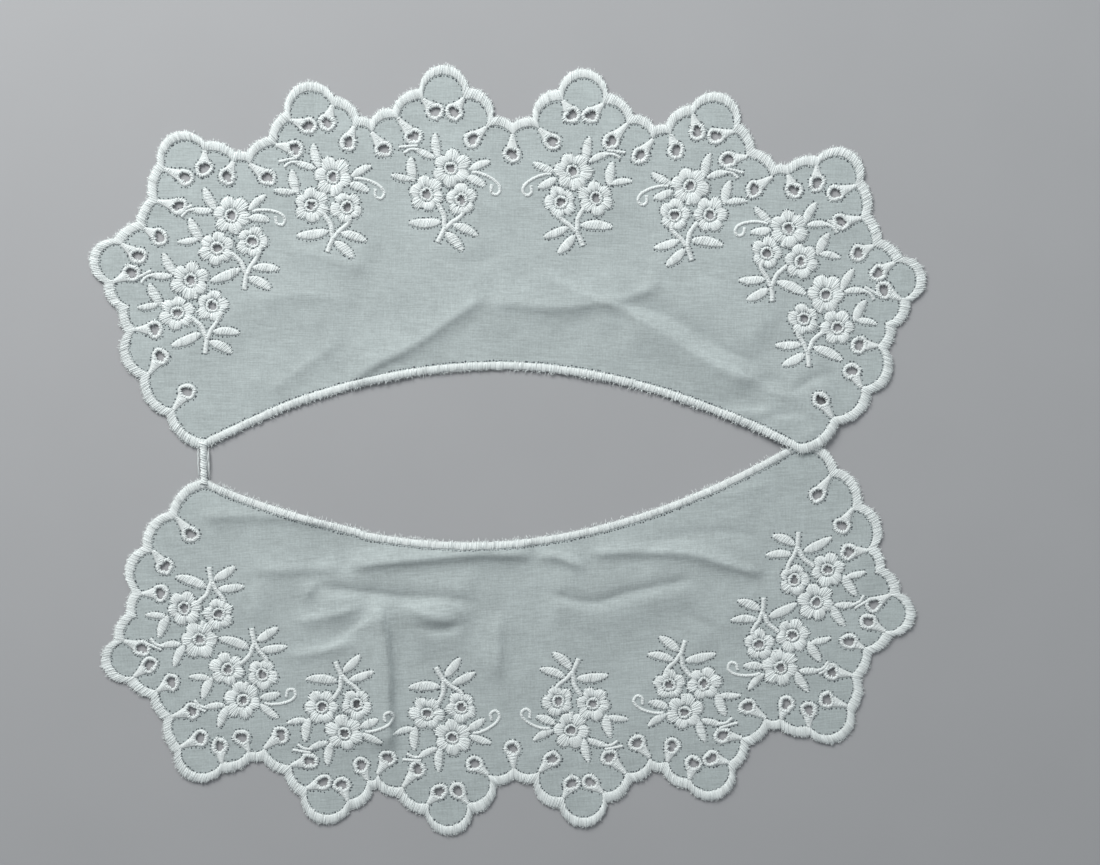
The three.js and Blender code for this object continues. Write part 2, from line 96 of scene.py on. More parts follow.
# One quarter of the scalloped hem, from the middle to the tip, a row for each notch.
# notch and eye: shares of half the length and of the depth; bulge: rise of the lobe after the notch
SCALLOPS = [
    # notch x, notch y, bulge, eye x, eye y
    (0, 0.855, 0.12, 0, 0.775),
    (0.048, 0.87, 0.24, 0.095, 0.81),
    (0.108, 0.943, 0.47, 0.14, 0.88),
    (0.222, 0.938, 0.15, 0.185, 0.88),
    (0.286, 0.884, 0.16, 0.235, 0.815),
    (0.337, 0.855, 0.1, 0.305, 0.78),
    (0.365, 0.862, 0.165, 0.39, 0.795),
    (0.425, 0.913, 0.42, 0.44, 0.845),
    (0.54, 0.87, 0.12, 0.485, 0.835),
    (0.578, 0.804, 0.12, 0.515, 0.775),
    (0.629, 0.763, 0.1, 0.58, 0.7),
    (0.657, 0.764, 0.125, 0.675, 0.7),
    (0.73, 0.789, 0.39, 0.73, 0.72),
    (0.84, 0.731, 0.135, 0.775, 0.695),
    (0.86, 0.641, 0.1, 0.79, 0.62),
    (0.889, 0.578, 0.1, 0.835, 0.54),
    (0.943, 0.532, 0.43, 0.885, 0.49),
    (0.965, 0.419, 0.15, 0.9, 0.445),
    (0.93, 0.349, 0.1, None, None),
    (0.913, 0.29, 0.26, 0.845, 0.3),
    (0.879, 0.174, 0.19, 0.83, 0.23),
    (0.813, 0.081, 0.16, 0.765, 0.145),
]

# The four sprays of a quarter, from the middle outwards
SPRAYS = [
    # x: share of half the length, y: share of the depth, turn in degrees, curled end
    (0.145, 0.735, 0, True),
    (0.425, 0.705, 6, True),
    (0.665, 0.6, 20, True),
    (0.76, 0.43, 21, False),
]

# One spray about its main flower, x away from the collar's middle, y towards the hem: shares of SPRAY_SIZE
FLOWERS = [
    # x, y, radius, petals
    (0, 0, 0.172, 6),
    (0.225, -0.245, 0.158, 6),
    (-0.105, -0.29, 0.142, 5),
]
LEAVES = [
    # base x, base y, tip x, tip y, width, on a curled spray only
    (0.12, 0.09, 0.153, 0.325, 0.085, False),
    (0.15, 0.095, 0.345, 0.178, 0.066, False),
    (-0.17, -0.01, -0.372, 0.075, 0.074, True),
    (-0.15, -0.07, -0.325, -0.16, 0.082, True),
    (0.345, -0.13, 0.375, 0.1, 0.092, False),
    (0.355, -0.11, 0.56, -0.073, 0.064, False),
    (0.085, -0.5, 0.39, -0.512, 0.094, False),
    (-0.028, -0.52, -0.262, -0.62, 0.082, False),
    (0.035, -0.595, -0.125, -0.77, 0.09, False),
]
STRANDS = [
    # width, on a curled spray only, then the points as x and y in turn
    (0.043, False, (0.118, -0.33, 0.06, -0.435, 0.055, -0.52, 0.05, -0.56, 0.09, -0.64, 0.113, -0.692)),
    (0.04, False, (-0.108, -0.36, -0.118, -0.42, -0.065, -0.47, -0.012, -0.505, 0.044, -0.565)),
    (0.045, False, (0.012, -0.11, 0.012, -0.18)),
    (0.028, False, (0.315, 0.205, 0.38, 0.198, 0.49, 0.184)),
    (0.028, False, (0.3, 0.165, 0.38, 0.168, 0.445, 0.13)),
    (0.03, True, (-0.2, -0.03, -0.26, -0.035, -0.36, -0.072, -0.442, -0.132, -0.465, -0.192,
                   -0.428, -0.235, -0.382, -0.208, -0.388, -0.14)),
]

# How the cloth lies: ridges and valleys, each along a smooth line through a few places.
# x, y: shares of the collar's reach to each side
# left and right: widths of the two flanks, seen along the line
FOLDS = {
    "upper": [
        # rise mm, left mm, right mm, then the places as x and y in turn
        (0.25, 2, 3, (-0.59, 0.16, -0.46, 0.26, -0.4, 0.31)),
        (0.7, 7, 2.2, (-0.4, 0.18, -0.32, 0.24, -0.26, 0.27, -0.2, 0.31, -0.12, 0.37, -0.05, 0.42)),
        (-0.35, 5, 6, (-0.36, 0.19, -0.29, 0.235, -0.22, 0.255)),
        (0.35, 6, 4, (-0.55, 0.55, -0.4, 0.5, -0.32, 0.48)),
        (0.7, 9, 2.6, (-0.06, 0.4, 0.1, 0.385, 0.2, 0.395, 0.28, 0.41, 0.37, 0.45)),
        (0.3, 1.8, 5, (0.04, 0.5, 0.1, 0.46, 0.2, 0.41, 0.25, 0.39)),
        (0.8, 1.6, 9, (0.2, 0.41, 0.25, 0.39, 0.31, 0.36, 0.4, 0.3, 0.46, 0.26, 0.55, 0.21, 0.62, 0.19)),
        (-0.9, 8, 5, (0.28, 0.4, 0.4, 0.35, 0.49, 0.29, 0.61, 0.23)),
        (0.5, 3, 3, (0.5, 0.11, 0.58, 0.11, 0.66, 0.12)),
        (-0.7, 3.5, 5, (0.66, 0.155, 0.7, 0.18, 0.735, 0.205, 0.79, 0.22)),
        (-0.4, 2.5, 3, (0.56, 0.2, 0.62, 0.2, 0.68, 0.19)),
        (0.4, 2, 2, (0.6, 0.17, 0.66, 0.16, 0.72, 0.15)),
        (-0.4, 2.5, 2.5, (0.6, 0.115, 0.66, 0.11, 0.73, 0.12)),
        (0.4, 2, 2.5, (0.69, 0.04, 0.72, 0.055, 0.76, 0.085)),
        (0.35, 5, 6, (-0.63, 0.4, -0.5, 0.42, -0.36, 0.4)),
        (-0.35, 6, 6, (-0.2, 0.52, -0.1, 0.5, 0.0, 0.53)),
    ],
    "lower": [
        (0.5, 4, 2.2, (-0.76, -0.155, -0.6, -0.155, -0.41, -0.175)),
        (0.45, 4, 2, (-0.64, -0.3, -0.5, -0.295, -0.4, -0.29)),
        (1.0, 5, 2, (-0.4, -0.29, -0.3, -0.275, -0.19, -0.265, -0.07, -0.255, 0.07, -0.26)),
        (0.9, 3, 1.8, (0.05, -0.257, 0.12, -0.265, 0.16, -0.285, 0.195, -0.3)),
        (-1.0, 4, 4, (-0.48, -0.34, -0.39, -0.35, -0.32, -0.36, -0.25, -0.37, -0.16, -0.37, -0.07, -0.39)),
        (-0.9, 4, 3.5, (0.08, -0.355, 0.2, -0.385, 0.28, -0.36, 0.35, -0.345, 0.45, -0.32)),
        (0.5, 1.4, 3, (-0.54, -0.435, -0.44, -0.415, -0.35, -0.39)),
        (0.5, 1.4, 3, (-0.56, -0.525, -0.47, -0.51, -0.36, -0.48)),
        (0.8, 2.5, 2.2, (-0.505, -0.39, -0.485, -0.345, -0.455, -0.315)),
        (1.3, 1.2, 10, (-0.35, -0.38, -0.32, -0.405, -0.305, -0.46,
                        -0.296, -0.56, -0.296, -0.66, -0.29, -0.79)),
        (0.6, 4, 2.5, (-0.27, -0.385, -0.19, -0.42, -0.12, -0.43)),
        (-0.75, 4, 2.8, (-0.255, -0.44, -0.18, -0.455, -0.09, -0.435)),
        (0.8, 4, 1.8, (0.18, -0.255, 0.31, -0.25, 0.43, -0.255, 0.53, -0.285, 0.635, -0.315)),
        (-0.4, 4, 5, (0.31, -0.23, 0.47, -0.2, 0.61, -0.205)),
        (0.6, 2, 4, (-0.025, -0.4, -0.03, -0.5, -0.03, -0.6)),
        (-0.35, 5, 6, (0.38, -0.39, 0.48, -0.44, 0.53, -0.49)),
        (0.35, 5, 4, (-0.595, -0.305, -0.615, -0.385, -0.625, -0.45)),
        (0.35, 5, 6, (0.45, -0.11, 0.56, -0.09, 0.67, -0.06)),
    ],
}
FOLD_GAIN = 2.0  # how much deeper the folds are than their rows say
CREST = 0.35  # radius of a fold's crest
FOLD_PITCH = 3.0
FOLD_END = 9.0  # length over which a fold dies away at each end
SHOULDER = 2.6  # how broad a valley's shoulders are, in flank widths
FOLD_REACH = 6.0  # how far a fold is felt, in flank widths

# How each tip lies, as shifts outwards and towards the hem; the laps are only in the cloth, not in the solids
TIP_PULLS = {
    "upper": {"left": (0.5, -1.2), "right": (-3.2, 3.6)},
    "lower": {"left": (-0.6, 0.8), "right": (3.0, 2.5)},
}
TIP_LAPS = {
    "upper": {"left": (0.0, 0.0), "right": (1.0, -1.9)},
    "lower": {"left": (0.0, 0.0), "right": (-0.7, -3.2)},
}
LAP_LIFT = 0.9  # the upper right tip rides over the lower one
LAP_REACH = 26.0

# Heights above the cloth, and the cloth's own
CLOTH_TOP = 0.75  # the cloth's upper face above the floor
CLOTH_LOW = 0.35  # the least height of that face
FLOOR_GAP = 0.02
HEM_SINK = 0.6  # how far the padding reaches below the cloth's face
SPRAY_SINK = 0.32

# How stitches are drawn: shares of a stitch's length where its sections stand
LONG_STITCH = np.array([0, 0.1, 0.5, 0.9, 1.0])
MIDDLE_STITCH = np.array([0, 0.2, 0.8, 1.0])
SHORT_STITCH = np.array([0, 0.5, 1.0])
GATHER = 0.12  # how far a stitch is drawn to its neighbour, in thread widths
THREAD_SHARE = 0.96  # a thread's width, as a share of the pitch
PAD_STEP = 3  # how many stitches a section of a band's padding spans

# Heights of the work over the cloth, and the padding's share of it
BAND_PAD = 0.8
SPRAY_PAD = 0.78
LOW_PAD = 0.28  # height of the padding in stems and stalks
STEM_CROWN = 0.34
STALK_CROWN = 0.36
EYELET_CROWN = 0.36
FLOWER_RING_CROWN = 0.32

# How far the edges of a ring waver
EYELET_WAVER = 0.24
FLOWER_RING_WAVER = 0.13

# Where the cloth ends: share of a band's width in from its outer edge, and how far behind the edge of a hole
UNDER_BAND = 0.4
UNDER_EYELET = 0.45
UNDER_FLOWER = 0.35

# Needle holes: how far apart they stand, and how far from the stitches
PRICK_PITCH = 1.1
RIM_PITCH = 1.25
STALK_PITCH = 1.3
PRICK_GAP = 0.45

# Cut threads along each band: how far apart they stand, the shortest and the longest
HEM_ENDS = (0.29, 0.3, 1.4)
NECK_ENDS = (0.3, 0.3, 1.9)


def millimetres(name, description, default):
    return bpy.props.FloatProperty(name=name, description=description, default=default)


def tint(name, description, default):
    return bpy.props.FloatVectorProperty(
        name=name, description=description, subtype="COLOR", size=3, default=default
    )


class CollarSizes(bpy.types.PropertyGroup):
    """Sizes of the cloth and the embroidery, in millimetres."""

    grid: millimetres("Cloth grid", "Spacing of the cloth's points", 1.25)
    cloth: millimetres("Cloth", "Thickness of the batiste", 0.3)
    pitch: millimetres("Stitch pitch", "From one satin stitch to the next", 0.5)
    leaf_pitch: millimetres("Leaf pitch", "Stitch pitch on leaves", 0.52)
    hem_width: millimetres("Hem width", "Satin band on the scallops", 3.4)
    hem_crown: millimetres("Hem crown", "Its height above the cloth", 0.34)
    neck_width: millimetres("Neck width", "Satin band on the neck edge", 2.7)
    neck_crown: millimetres("Neck crown", "Its height above the cloth", 0.34)
    eyelet: millimetres("Eyelet", "Diameter of a hole near the hem", 3.8)
    eyelet_ring: millimetres("Eyelet ring", "Width of its ring", 1.35)
    stem: millimetres("Stem", "Width of the stem to the notch", 1.6)
    flower_hole: millimetres("Flower hole", "Its diameter", 3.3)
    flower_ring: millimetres("Flower ring", "Width of its ring", 0.85)
    spray_crown: millimetres("Spray crown", "Height of the flowers", 0.3)


class CollarColours(bpy.types.PropertyGroup):
    """Colours of the cloth, the thread and the floor."""

    cloth: tint("Cloth", "Batiste", (0.4, 0.455, 0.46))
    thread: tint("Thread", "Satin thread", (0.8, 0.86, 0.865))
    # the needle holes' dark colour is painted shade, standing in for the shade inside the holes
    prick_shade: tint("Needle holes", "Shade in the holes", (0.05, 0.06, 0.07))
    floor: tint("Floor", "Plain pale floor", (0.36, 0.37, 0.385))


# Curves of the plan


def smooth(share):
    """Eases from 0 to 1: three times the square less twice the cube."""
    s = np.clip(share, 0, 1)
    return s * s * (3 - 2 * s)


def turned(points, angle):
    """Points turned about the origin by an angle in radians."""
    c, s = math.cos(angle), math.sin(angle)
    return np.asarray(points) @ np.array([[c, s], [-s, c]])


def neck_height(x):
    """The neck edge: the arch less its share by a power of the distance from the middle."""
    return NECK_ARCH * (1 - np.abs(x / TIP_REACH) ** NECK_CURVE)


def unit(vectors):
    """Each row at length one."""
    return vectors / np.maximum(np.linalg.norm(vectors, axis=-1, keepdims=True), 1e-9)


def sideways(vectors):
    """Each row turned a quarter to its left."""
    return np.stack([-vectors[..., 1], vectors[..., 0]], axis=-1)


def even_points(route, pitch):
    """A smooth line through a few points: Catmull-Rom spans, sampled again at an even pitch."""
    route = np.asarray(route, float).reshape(-1, 2)
    padded = np.concatenate([2 * route[:1] - route[1:2], route, 2 * route[-1:] - route[-2:-1]])
    t = np.linspace(0, 1, 12, endpoint=False)[:, None]
    spans = []
    for a, b, c, d in zip(padded, padded[1:], padded[2:], padded[3:]):
        square = 2 * a - 5 * b + 4 * c - d
        cubic = 3 * b - a - 3 * c + d
        spans.append(0.5 * (2 * b + (c - a) * t + square * t**2 + cubic * t**3))
    fine = np.concatenate([*spans, route[-1:]])
    run = np.concatenate([[0], np.cumsum(np.linalg.norm(np.diff(fine, axis=0), axis=1))])
    count = max(3, round(run[-1] / pitch))
    goal = np.linspace(0, run[-1], count)
    return np.stack([np.interp(goal, run, fine[:, k]) for k in (0, 1)], axis=1)


class Arc:
    """The circle's arc from a to b whose middle point stands as high over the chord as crest does."""

    def __init__(self, a, crest, b):
        self.along = unit(b - a)
        self.out = sideways(self.along)
        chord = np.linalg.norm(b - a)
        middle = (a + b) / 2
        rise = (crest - middle) @ self.out
        self.half_angle = 2 * math.atan(2 * rise / chord)
        self.radius = chord / 2 / math.sin(self.half_angle)
        self.centre = middle + (rise - self.radius) * self.out

    def at(self, shares):
        angle = (self.half_angle * (2 * shares - 1))[:, None]
        return self.centre + self.radius * (np.sin(angle) * self.along + np.cos(angle) * self.out)

    def length(self):
        return abs(2 * self.half_angle * self.radius)


def hem_notches(width):
    """Notches of the hem from the left tip to the right one, the lobes' bulges, and the band's inner corners.

    An inner corner lies where two offset arcs meet. It is as far in as the width over the cosine of half the
    turn between them.
    """
    tip = np.array([TIP_REACH, 0.0])
    mirror = np.array([-1.0, 1.0])
    right = np.array([[x * HALF_REACH, y * HALF_DEPTH] for x, y, *_ in SCALLOPS])
    bulges = np.array([row[2] for row in SCALLOPS])
    bulges = np.concatenate([bulges[::-1], bulges])
    notches = np.concatenate([[tip * mirror], (right * mirror)[:0:-1], right, [tip]])
    chords = unit(notches[1:] - notches[:-1])
    turn = np.arctan2(chords[:, 1], chords[:, 0])
    half_angle = 2 * np.arctan(2 * bulges)
    kink = turn[1:] - turn[:-1] + half_angle[1:] + half_angle[:-1]
    reach = width * np.clip(1 / np.cos(np.clip(kink / 2, 0, 1.2)), 1, CORNER_REACH)
    inward = -sideways(unit(chords[1:] + chords[:-1])) * reach[:, None]
    first = unit(np.array([[TIP_LEAN, 1.0]])) * width
    inward = np.concatenate([first, inward, first * mirror])
    return notches, bulges, notches + inward


def hem_lobes(width):
    """Each lobe of the hem from the left tip to the right one, as its outer arc and its band's inner arc."""
    notches, bulges, corners = hem_notches(width)
    lobes = []
    for k, bulge in enumerate(bulges):
        a, b = notches[k], notches[k + 1]
        out = sideways(unit(b - a))
        crest = (a + b) / 2 + bulge * np.linalg.norm(b - a) * out
        lobes.append((Arc(a, crest, b), Arc(corners[k], crest - out * width, corners[k + 1])))
    return lobes


def hem_band(width, pitch, centred):
    """Outer and inner points across the hem band, a pair for each stitch or for each joint between them."""
    outer, inner = [], []
    for outer_arc, inner_arc in hem_lobes(width):
        count = max(4, round(outer_arc.length() / pitch))
        shares = (np.arange(count) + 0.5 * centred) / count
        outer.append(outer_arc.at(shares))
        inner.append(inner_arc.at(shares))
    if not centred:
        outer.append(outer_arc.at(np.array([1.0])))
        inner.append(inner_arc.at(np.array([1.0])))
    return np.concatenate(outer), np.concatenate(inner)


def neck_band(width, hem_width, pitch):
    """Outer and inner points across the neck band; its ends lie along the ends of the hem band."""
    count = round(2.1 * TIP_REACH / pitch)
    u = np.linspace(-1, 1, count)
    x = TIP_REACH * u
    outer = np.stack([x, neck_height(x)], axis=1)
    slope = np.stack([np.gradient(x), np.gradient(outer[:, 1])], axis=1)
    inner = outer + width * sideways(unit(slope))
    end = unit(np.array([TIP_LEAN, 1.0])) * hem_width
    blend = smooth((np.abs(u) - 0.955) / 0.045)[:, None]
    to_end = outer + np.stack([-np.sign(u) * end[0], np.full(count, end[1])], axis=1)
    return outer, inner * (1 - blend) + to_end * blend


def eyelet_rows(width):
    """Each eyelet's centre and the corner of the hem band that its stem runs to, in the plan."""
    corners = hem_notches(width)[2]
    centre = len(SCALLOPS)
    eyes, ends = [], []
    for k, (_, _, _, x, y) in enumerate(SCALLOPS):
        if x is None:
            continue
        for side in (-1, 1) if k else (1,):
            eyes.append((side * x * HALF_REACH, y * HALF_DEPTH))
            ends.append(corners[centre + side * k])
    return np.array(eyes), np.array(ends)


# Where the two halves lie


class Half:
    """One crescent: it bends its plan, turns it over where it is the lower one, and lays it on the floor."""

    def __init__(self, name):
        self.name = name
        self.flip = 1 if name == "upper" else -1
        self.turn = 0.0
        self.shift = np.zeros(2)
        self.pricks = []
        self.fold_lines = []
        reach = np.array([CAD_BOX[1][0], CAD_BOX[1][1]]) / MM
        for rise, left, right, route in FOLDS[name]:
            line = even_points(np.reshape(route, (-1, 2)) * reach, FOLD_PITCH)
            run = np.concatenate([[0], np.cumsum(np.linalg.norm(np.diff(line, axis=0), axis=1))])
            self.fold_lines.append((rise, left, right, line, run))

    def bent(self, points, laps=True):
        """Pulled tips, and on the lower half the cloth that its pressed fold takes up."""
        x, y = points[..., 0], points[..., 1]
        sign = np.where(x < 0, -1.0, 1.0)
        away = np.hypot(sign * x - TIP_REACH, y)
        pull = smooth(TIP_PULL_GAIN * (1 - away / TIP_PULL_REACH))
        pulls = {side: np.array(TIP_PULLS[self.name][side]) for side in ("left", "right")}
        if laps:
            pulls = {side: pulls[side] + TIP_LAPS[self.name][side] for side in pulls}
        out = np.where(x < 0, pulls["left"][0], pulls["right"][0])
        up = np.where(x < 0, pulls["left"][1], pulls["right"][1])
        bent_x = x + sign * out * pull
        if self.flip < 0:
            bent_x = bent_x + CREASE_TAKE_UP * (1 - smooth((x - CREASE_X * HALF_REACH) / CREASE_WIDTH + 0.5))
        return np.stack([bent_x, self.flip * (y + up * pull)], axis=-1)

    def place(self, points):
        return turned(self.bent(np.asarray(points, float)), self.turn) + self.shift

    def tip(self, side):
        """A tip in the half's own frame, as the solids have it."""
        return self.bent(np.array([side * TIP_REACH, 0.0]), laps=False)

    def ground(self, points):
        """Height of the cloth's upper face: its rest height, its folds, its cockling and the lap of a tip."""
        points = np.asarray(points, float).reshape(-1, 2)
        height = CLOTH_TOP + self.folds(points) + cockle(points)
        if self.flip > 0:
            away = np.linalg.norm(points - self.place([TIP_REACH, 0.0]), axis=-1)
            height = height + LAP_LIFT * smooth(1.25 - away / LAP_REACH)
        return np.maximum(height, CLOTH_LOW)

    def folds(self, points):
        """Each fold falls off exponentially on both flanks from a rounded crest, and dies away at its ends.

        A valley can't sink into the floor: shoulders as broad as a bell curve rise on both its sides.
        """
        height = np.zeros(len(points))
        for rise, left, right, line, run in self.fold_lines:
            reach = FOLD_REACH * max(left, right)
            lo, hi = line.min(axis=0) - reach, line.max(axis=0) + reach
            chosen = np.flatnonzero(np.all((points > lo) & (points < hi), axis=1))
            off, along = beside_line(points[chosen], line, run)
            flank = np.where(off > 0, left, right)
            fall = np.exp(-(np.sqrt(off * off + CREST * CREST) - CREST) / flank)
            if rise < 0:
                fall = fall - np.exp(-((off / (SHOULDER * flank)) ** 2))
            ends = smooth(along / FOLD_END) * smooth((run[-1] - along) / FOLD_END)
            height[chosen] += FOLD_GAIN * rise * fall * ends
        return height


def beside_line(points, line, run):
    """For each point, its distance to the left of a line of points and how far along the line it stands."""
    offs, alongs = [], []
    start, span = line[:-1], line[1:] - line[:-1]
    length = np.linalg.norm(span, axis=1)
    for some in np.array_split(points, 1 + len(points) // 4000):
        to_point = some[:, None] - start
        share = np.clip((to_point * span).sum(axis=2) / length**2, 0, 1)
        gap = to_point - share[..., None] * span
        nearest = np.argmin((gap**2).sum(axis=2), axis=1)
        rows = np.arange(len(some))
        side = np.sign(span[nearest, 0] * gap[rows, nearest, 1] - span[nearest, 1] * gap[rows, nearest, 0])
        offs.append(side * np.linalg.norm(gap[rows, nearest], axis=1))
        alongs.append(run[nearest] + share[rows, nearest] * length[nearest])
    return np.concatenate(offs), np.concatenate(alongs)


def cockle(points):
    """The slight unevenness of cloth drawn up by stitching: a few long waves and finer ones, added."""
    x, y = points[..., 0], points[..., 1]
    long_waves = np.sin(x / 9.3 + 1.9 * np.sin(y / 17.0)) * np.sin(y / 7.9 + 1.3 * np.sin(x / 21.0))
    fine_waves = np.sin(x / 3.1 + 2.2 * np.sin(y / 5.3)) * np.sin(y / 2.7 + 1.7 * np.sin(x / 6.1))
    return 0.16 * long_waves + 0.05 * fine_waves


def lay_halves():
    """The upper half lies a little turned; the lower one hangs by the bar and meets it at the right tips."""
    lo, hi = (np.array(corner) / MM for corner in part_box("joining_bar"))
    left_top = np.array([(lo[0] + hi[0]) / 2, hi[1] + CLEARANCE])
    upper, lower = Half("upper"), Half("lower")
    upper.turn = math.radians(UPPER_TURN)
    upper.shift = left_top - turned(upper.tip(-1), upper.turn)
    left_end = np.array([left_top[0], lo[1] - CLEARANCE])
    right_end = turned(upper.tip(1), upper.turn) + upper.shift + np.array([RIGHT_TIP_STEP, -CLEARANCE])
    goal, own = right_end - left_end, lower.tip(1) - lower.tip(-1)
    lower.turn = math.atan2(goal[1], goal[0]) - math.atan2(own[1], own[0])
    lower.shift = (left_end + right_end) / 2 - turned((lower.tip(1) + lower.tip(-1)) / 2, lower.turn)
    return {"upper": upper, "lower": lower}


HALVES = lay_halves()


def spray_frames(half):
    """For each spray of a half, from left to right: its mapping from the spray's own shares to the floor."""
    order = [(-1, row) for row in SPRAYS[::-1]] + [(1, row) for row in SPRAYS]
    for side, (x, y, turn, curled) in order:
        centre = half.bent(np.array([side * x * HALF_REACH, y * HALF_DEPTH]))
        angle = -math.radians(turn) * side * half.flip
        mirror = np.array([side, half.flip]) * SPRAY_SIZE

        def to_floor(points, centre=centre, angle=angle, mirror=mirror):
            own = turned(np.asarray(points, float) * mirror, angle) + centre
            return turned(own, half.turn) + half.shift

        yield to_floor, curled


# Meshes


def mesh_object(name, points, triangles, material, tone=None):
    """A mesh at the origin from points in mm and triangles, smooth shaded."""
    mesh = bpy.data.meshes.new(name)
    mesh.vertices.add(len(points))
    mesh.vertices.foreach_set("co", (points * MM).astype(np.float32).ravel())
    mesh.loops.add(triangles.size)
    mesh.loops.foreach_set("vertex_index", triangles.astype(np.int32).ravel())
    mesh.polygons.add(len(triangles))
    mesh.polygons.foreach_set("loop_start", np.arange(0, triangles.size, 3, dtype=np.int32))
    mesh.update(calc_edges=True)
    mesh.shade_smooth()
    if tone is not None:
        mesh.attributes.new("tone", "FLOAT", "POINT").data.foreach_set("value", tone.astype(np.float32))
    mesh.materials.append(material)
    obj = bpy.data.objects.new(name, mesh)
    bpy.context.collection.objects.link(obj)
    return obj


def outwards(points, triangles):
    """The triangles, turned round where the closed mesh has a negative volume."""
    a, b, c = (points[triangles[:, k]] for k in range(3))
    volume = np.einsum("ij,ij->", a, np.cross(b, c))
    return triangles if volume > 0 else triangles[:, ::-1]


def rings_to_triangles(rings, sides, closed):
    """Triangles between rings of points in order; open rows get a fan at each end."""
    spans = rings if closed else rings - 1
    i = np.arange(spans)[:, None]
    j = np.arange(sides)[None, :]
    a, b = i * sides + j, i * sides + (j + 1) % sides
    nexts = ((i + 1) % rings) * sides
    d, c = nexts + j, nexts + (j + 1) % sides
    walls = np.stack([a, b, c, a, c, d], axis=-1).reshape(-1, 3)
    if closed:
        return walls
    fan = np.array([[0, k + 1, k] for k in range(1, sides - 1)])
    last = (rings - 1) * sides
    return np.concatenate([walls, fan, fan[:, ::-1] + last])


class Stitchwork:
    """Gathers the padding and the threads of one piece: plan places on the floor, heights above the cloth."""

    def __init__(self, half, seed):
        self.half = half
        self.rng = np.random.default_rng(seed)
        self.points, self.triangles, self.tones = [], [], []
        self.count = 0

    def add(self, points, triangles, tone):
        self.points.append(points)
        self.triangles.append(triangles + self.count)
        self.tones.append(np.broadcast_to(tone, len(points)))
        self.count += len(points)

    def pad(self, left, right, crown, sink, closed=False):
        """A flattened rod: at each pair of edge points stands an ellipse of eight points across them."""
        turn = np.arange(8) * math.pi / 4
        middle, half_width = (left + right) / 2, (left - right) / 2
        plan = middle[:, None] + half_width[:, None] * np.cos(turn)[None, :, None]
        rise = np.broadcast_to(crown, len(left))[:, None]
        depth = np.broadcast_to(sink, len(left))[:, None]
        height = np.where(np.sin(turn) > 0, rise, depth) * np.sin(turn)
        points = np.concatenate([plan, height[..., None]], axis=-1).reshape(-1, 3)
        triangles = rings_to_triangles(len(left), len(turn), closed)
        # the padding takes a lower tone than the stitches: painted shade in the gaps between the threads
        self.add(points, outwards(points, triangles), 0.8)

    def threads(self, start, end, crown, width, shares, sink=0.06, wander=0.0, tone=1.0):
        """Tubes of four sides, each straight from start to end, that rise in half an ellipse to the crown."""
        span = end - start
        across = sideways(unit(span))[:, None]
        t = shares[None, :, None]
        middle = start[:, None] + span[:, None] * t
        if wander:
            sway = self.rng.normal(0, wander, (len(start), len(shares), 1))
            middle = middle + across * sway
        crown = np.broadcast_to(crown, len(start))[:, None]
        height = crown * 2 * np.sqrt(shares * (1 - shares)) - sink
        taper = 0.55 + 0.45 * (4 * shares * (1 - shares) > 0.05)
        width = np.broadcast_to(width, len(start))[:, None]
        half_width = (width / 2 * taper)[..., None]
        thick = width * 0.42 * taper
        sides = [
            (middle + across * half_width, height),
            (middle, height + thick),
            (middle - across * half_width, height),
            (middle, height - thick),
        ]
        rings = [np.concatenate([plan, z[..., None]], axis=-1) for plan, z in sides]
        points = np.stack(rings, axis=2)
        per_thread = len(shares) * 4
        one = rings_to_triangles(len(shares), 4, closed=False)
        triangles = (np.arange(len(start))[:, None, None] * per_thread + one[None]).reshape(-1, 3)
        self.add(points.reshape(-1, 3), triangles, np.repeat(np.broadcast_to(tone, len(start)), per_thread))

    def frayed(self, count, ragged):
        """How far each stitch reaches past the edge: partly with its neighbours, partly on its own."""
        return self.bundled(count, 0.6 * ragged) + self.rng.uniform(-0.8, 1.3, count) * ragged

    def bundled(self, count, spread):
        """Normal noise that two neighbouring stitches mostly share, as if drawn into one needle hole."""
        shared = np.repeat(self.rng.normal(0, spread, count // 2 + 1), 2)[:count]
        return shared + self.rng.normal(0, 0.4 * spread, count)

    def satin(self, left, right, crown, width, shares, ragged=0.1, slant=0):
        """Satin stitches from left to right, drawn together in pairs, uneven in length, height and tone."""
        if slant:
            left, right = left[slant:], right[:-slant]
            crown = crown[slant:] if np.ndim(crown) else crown
            width = width[slant:] if np.ndim(width) else width
        count = len(left)
        along = unit(right - left)
        drawn = sideways(along) * (np.where(np.arange(count) % 2, 1, -1) * GATHER * width)[:, None]
        left = left + drawn - along * self.frayed(count, ragged)[:, None]
        right = right + drawn + along * self.frayed(count, ragged)[:, None]
        uneven = crown * (1 + self.bundled(count, 0.2))
        slim = width * self.rng.uniform(0.82, 1.05, count)
        self.threads(left, right, uneven, slim, shares, tone=1 + self.bundled(count, 0.1))

    def finished(self, name, material):
        points = np.concatenate(self.points)
        points[:, 2] += self.half.ground(points[:, :2])
        points[:, 2] = np.maximum(points[:, 2], FLOOR_GAP)
        obj = mesh_object(name, points, np.concatenate(self.triangles), material, np.concatenate(self.tones))
        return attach(obj, BODY)


def scatter(rng, points, every, jitter):
    """Points along a dense row, about this far apart and a little out of line."""
    run = np.concatenate([[0], np.cumsum(np.linalg.norm(np.diff(points, axis=0), axis=1))])
    count = max(2, round(run[-1] / every))
    goal = np.linspace(0, run[-1], count) + rng.normal(0, every * 0.18, count)
    picked = np.stack([np.interp(goal, run, points[:, k]) for k in (0, 1)], axis=1)
    return picked + rng.normal(0, jitter, picked.shape)


def prick_beside(work, line, side, every, jitter):
    """Needle holes on both sides of a line of stitches."""
    for sign in (1, -1):
        work.half.pricks.append(scatter(work.rng, line + sign * side, every, jitter))


# Materials


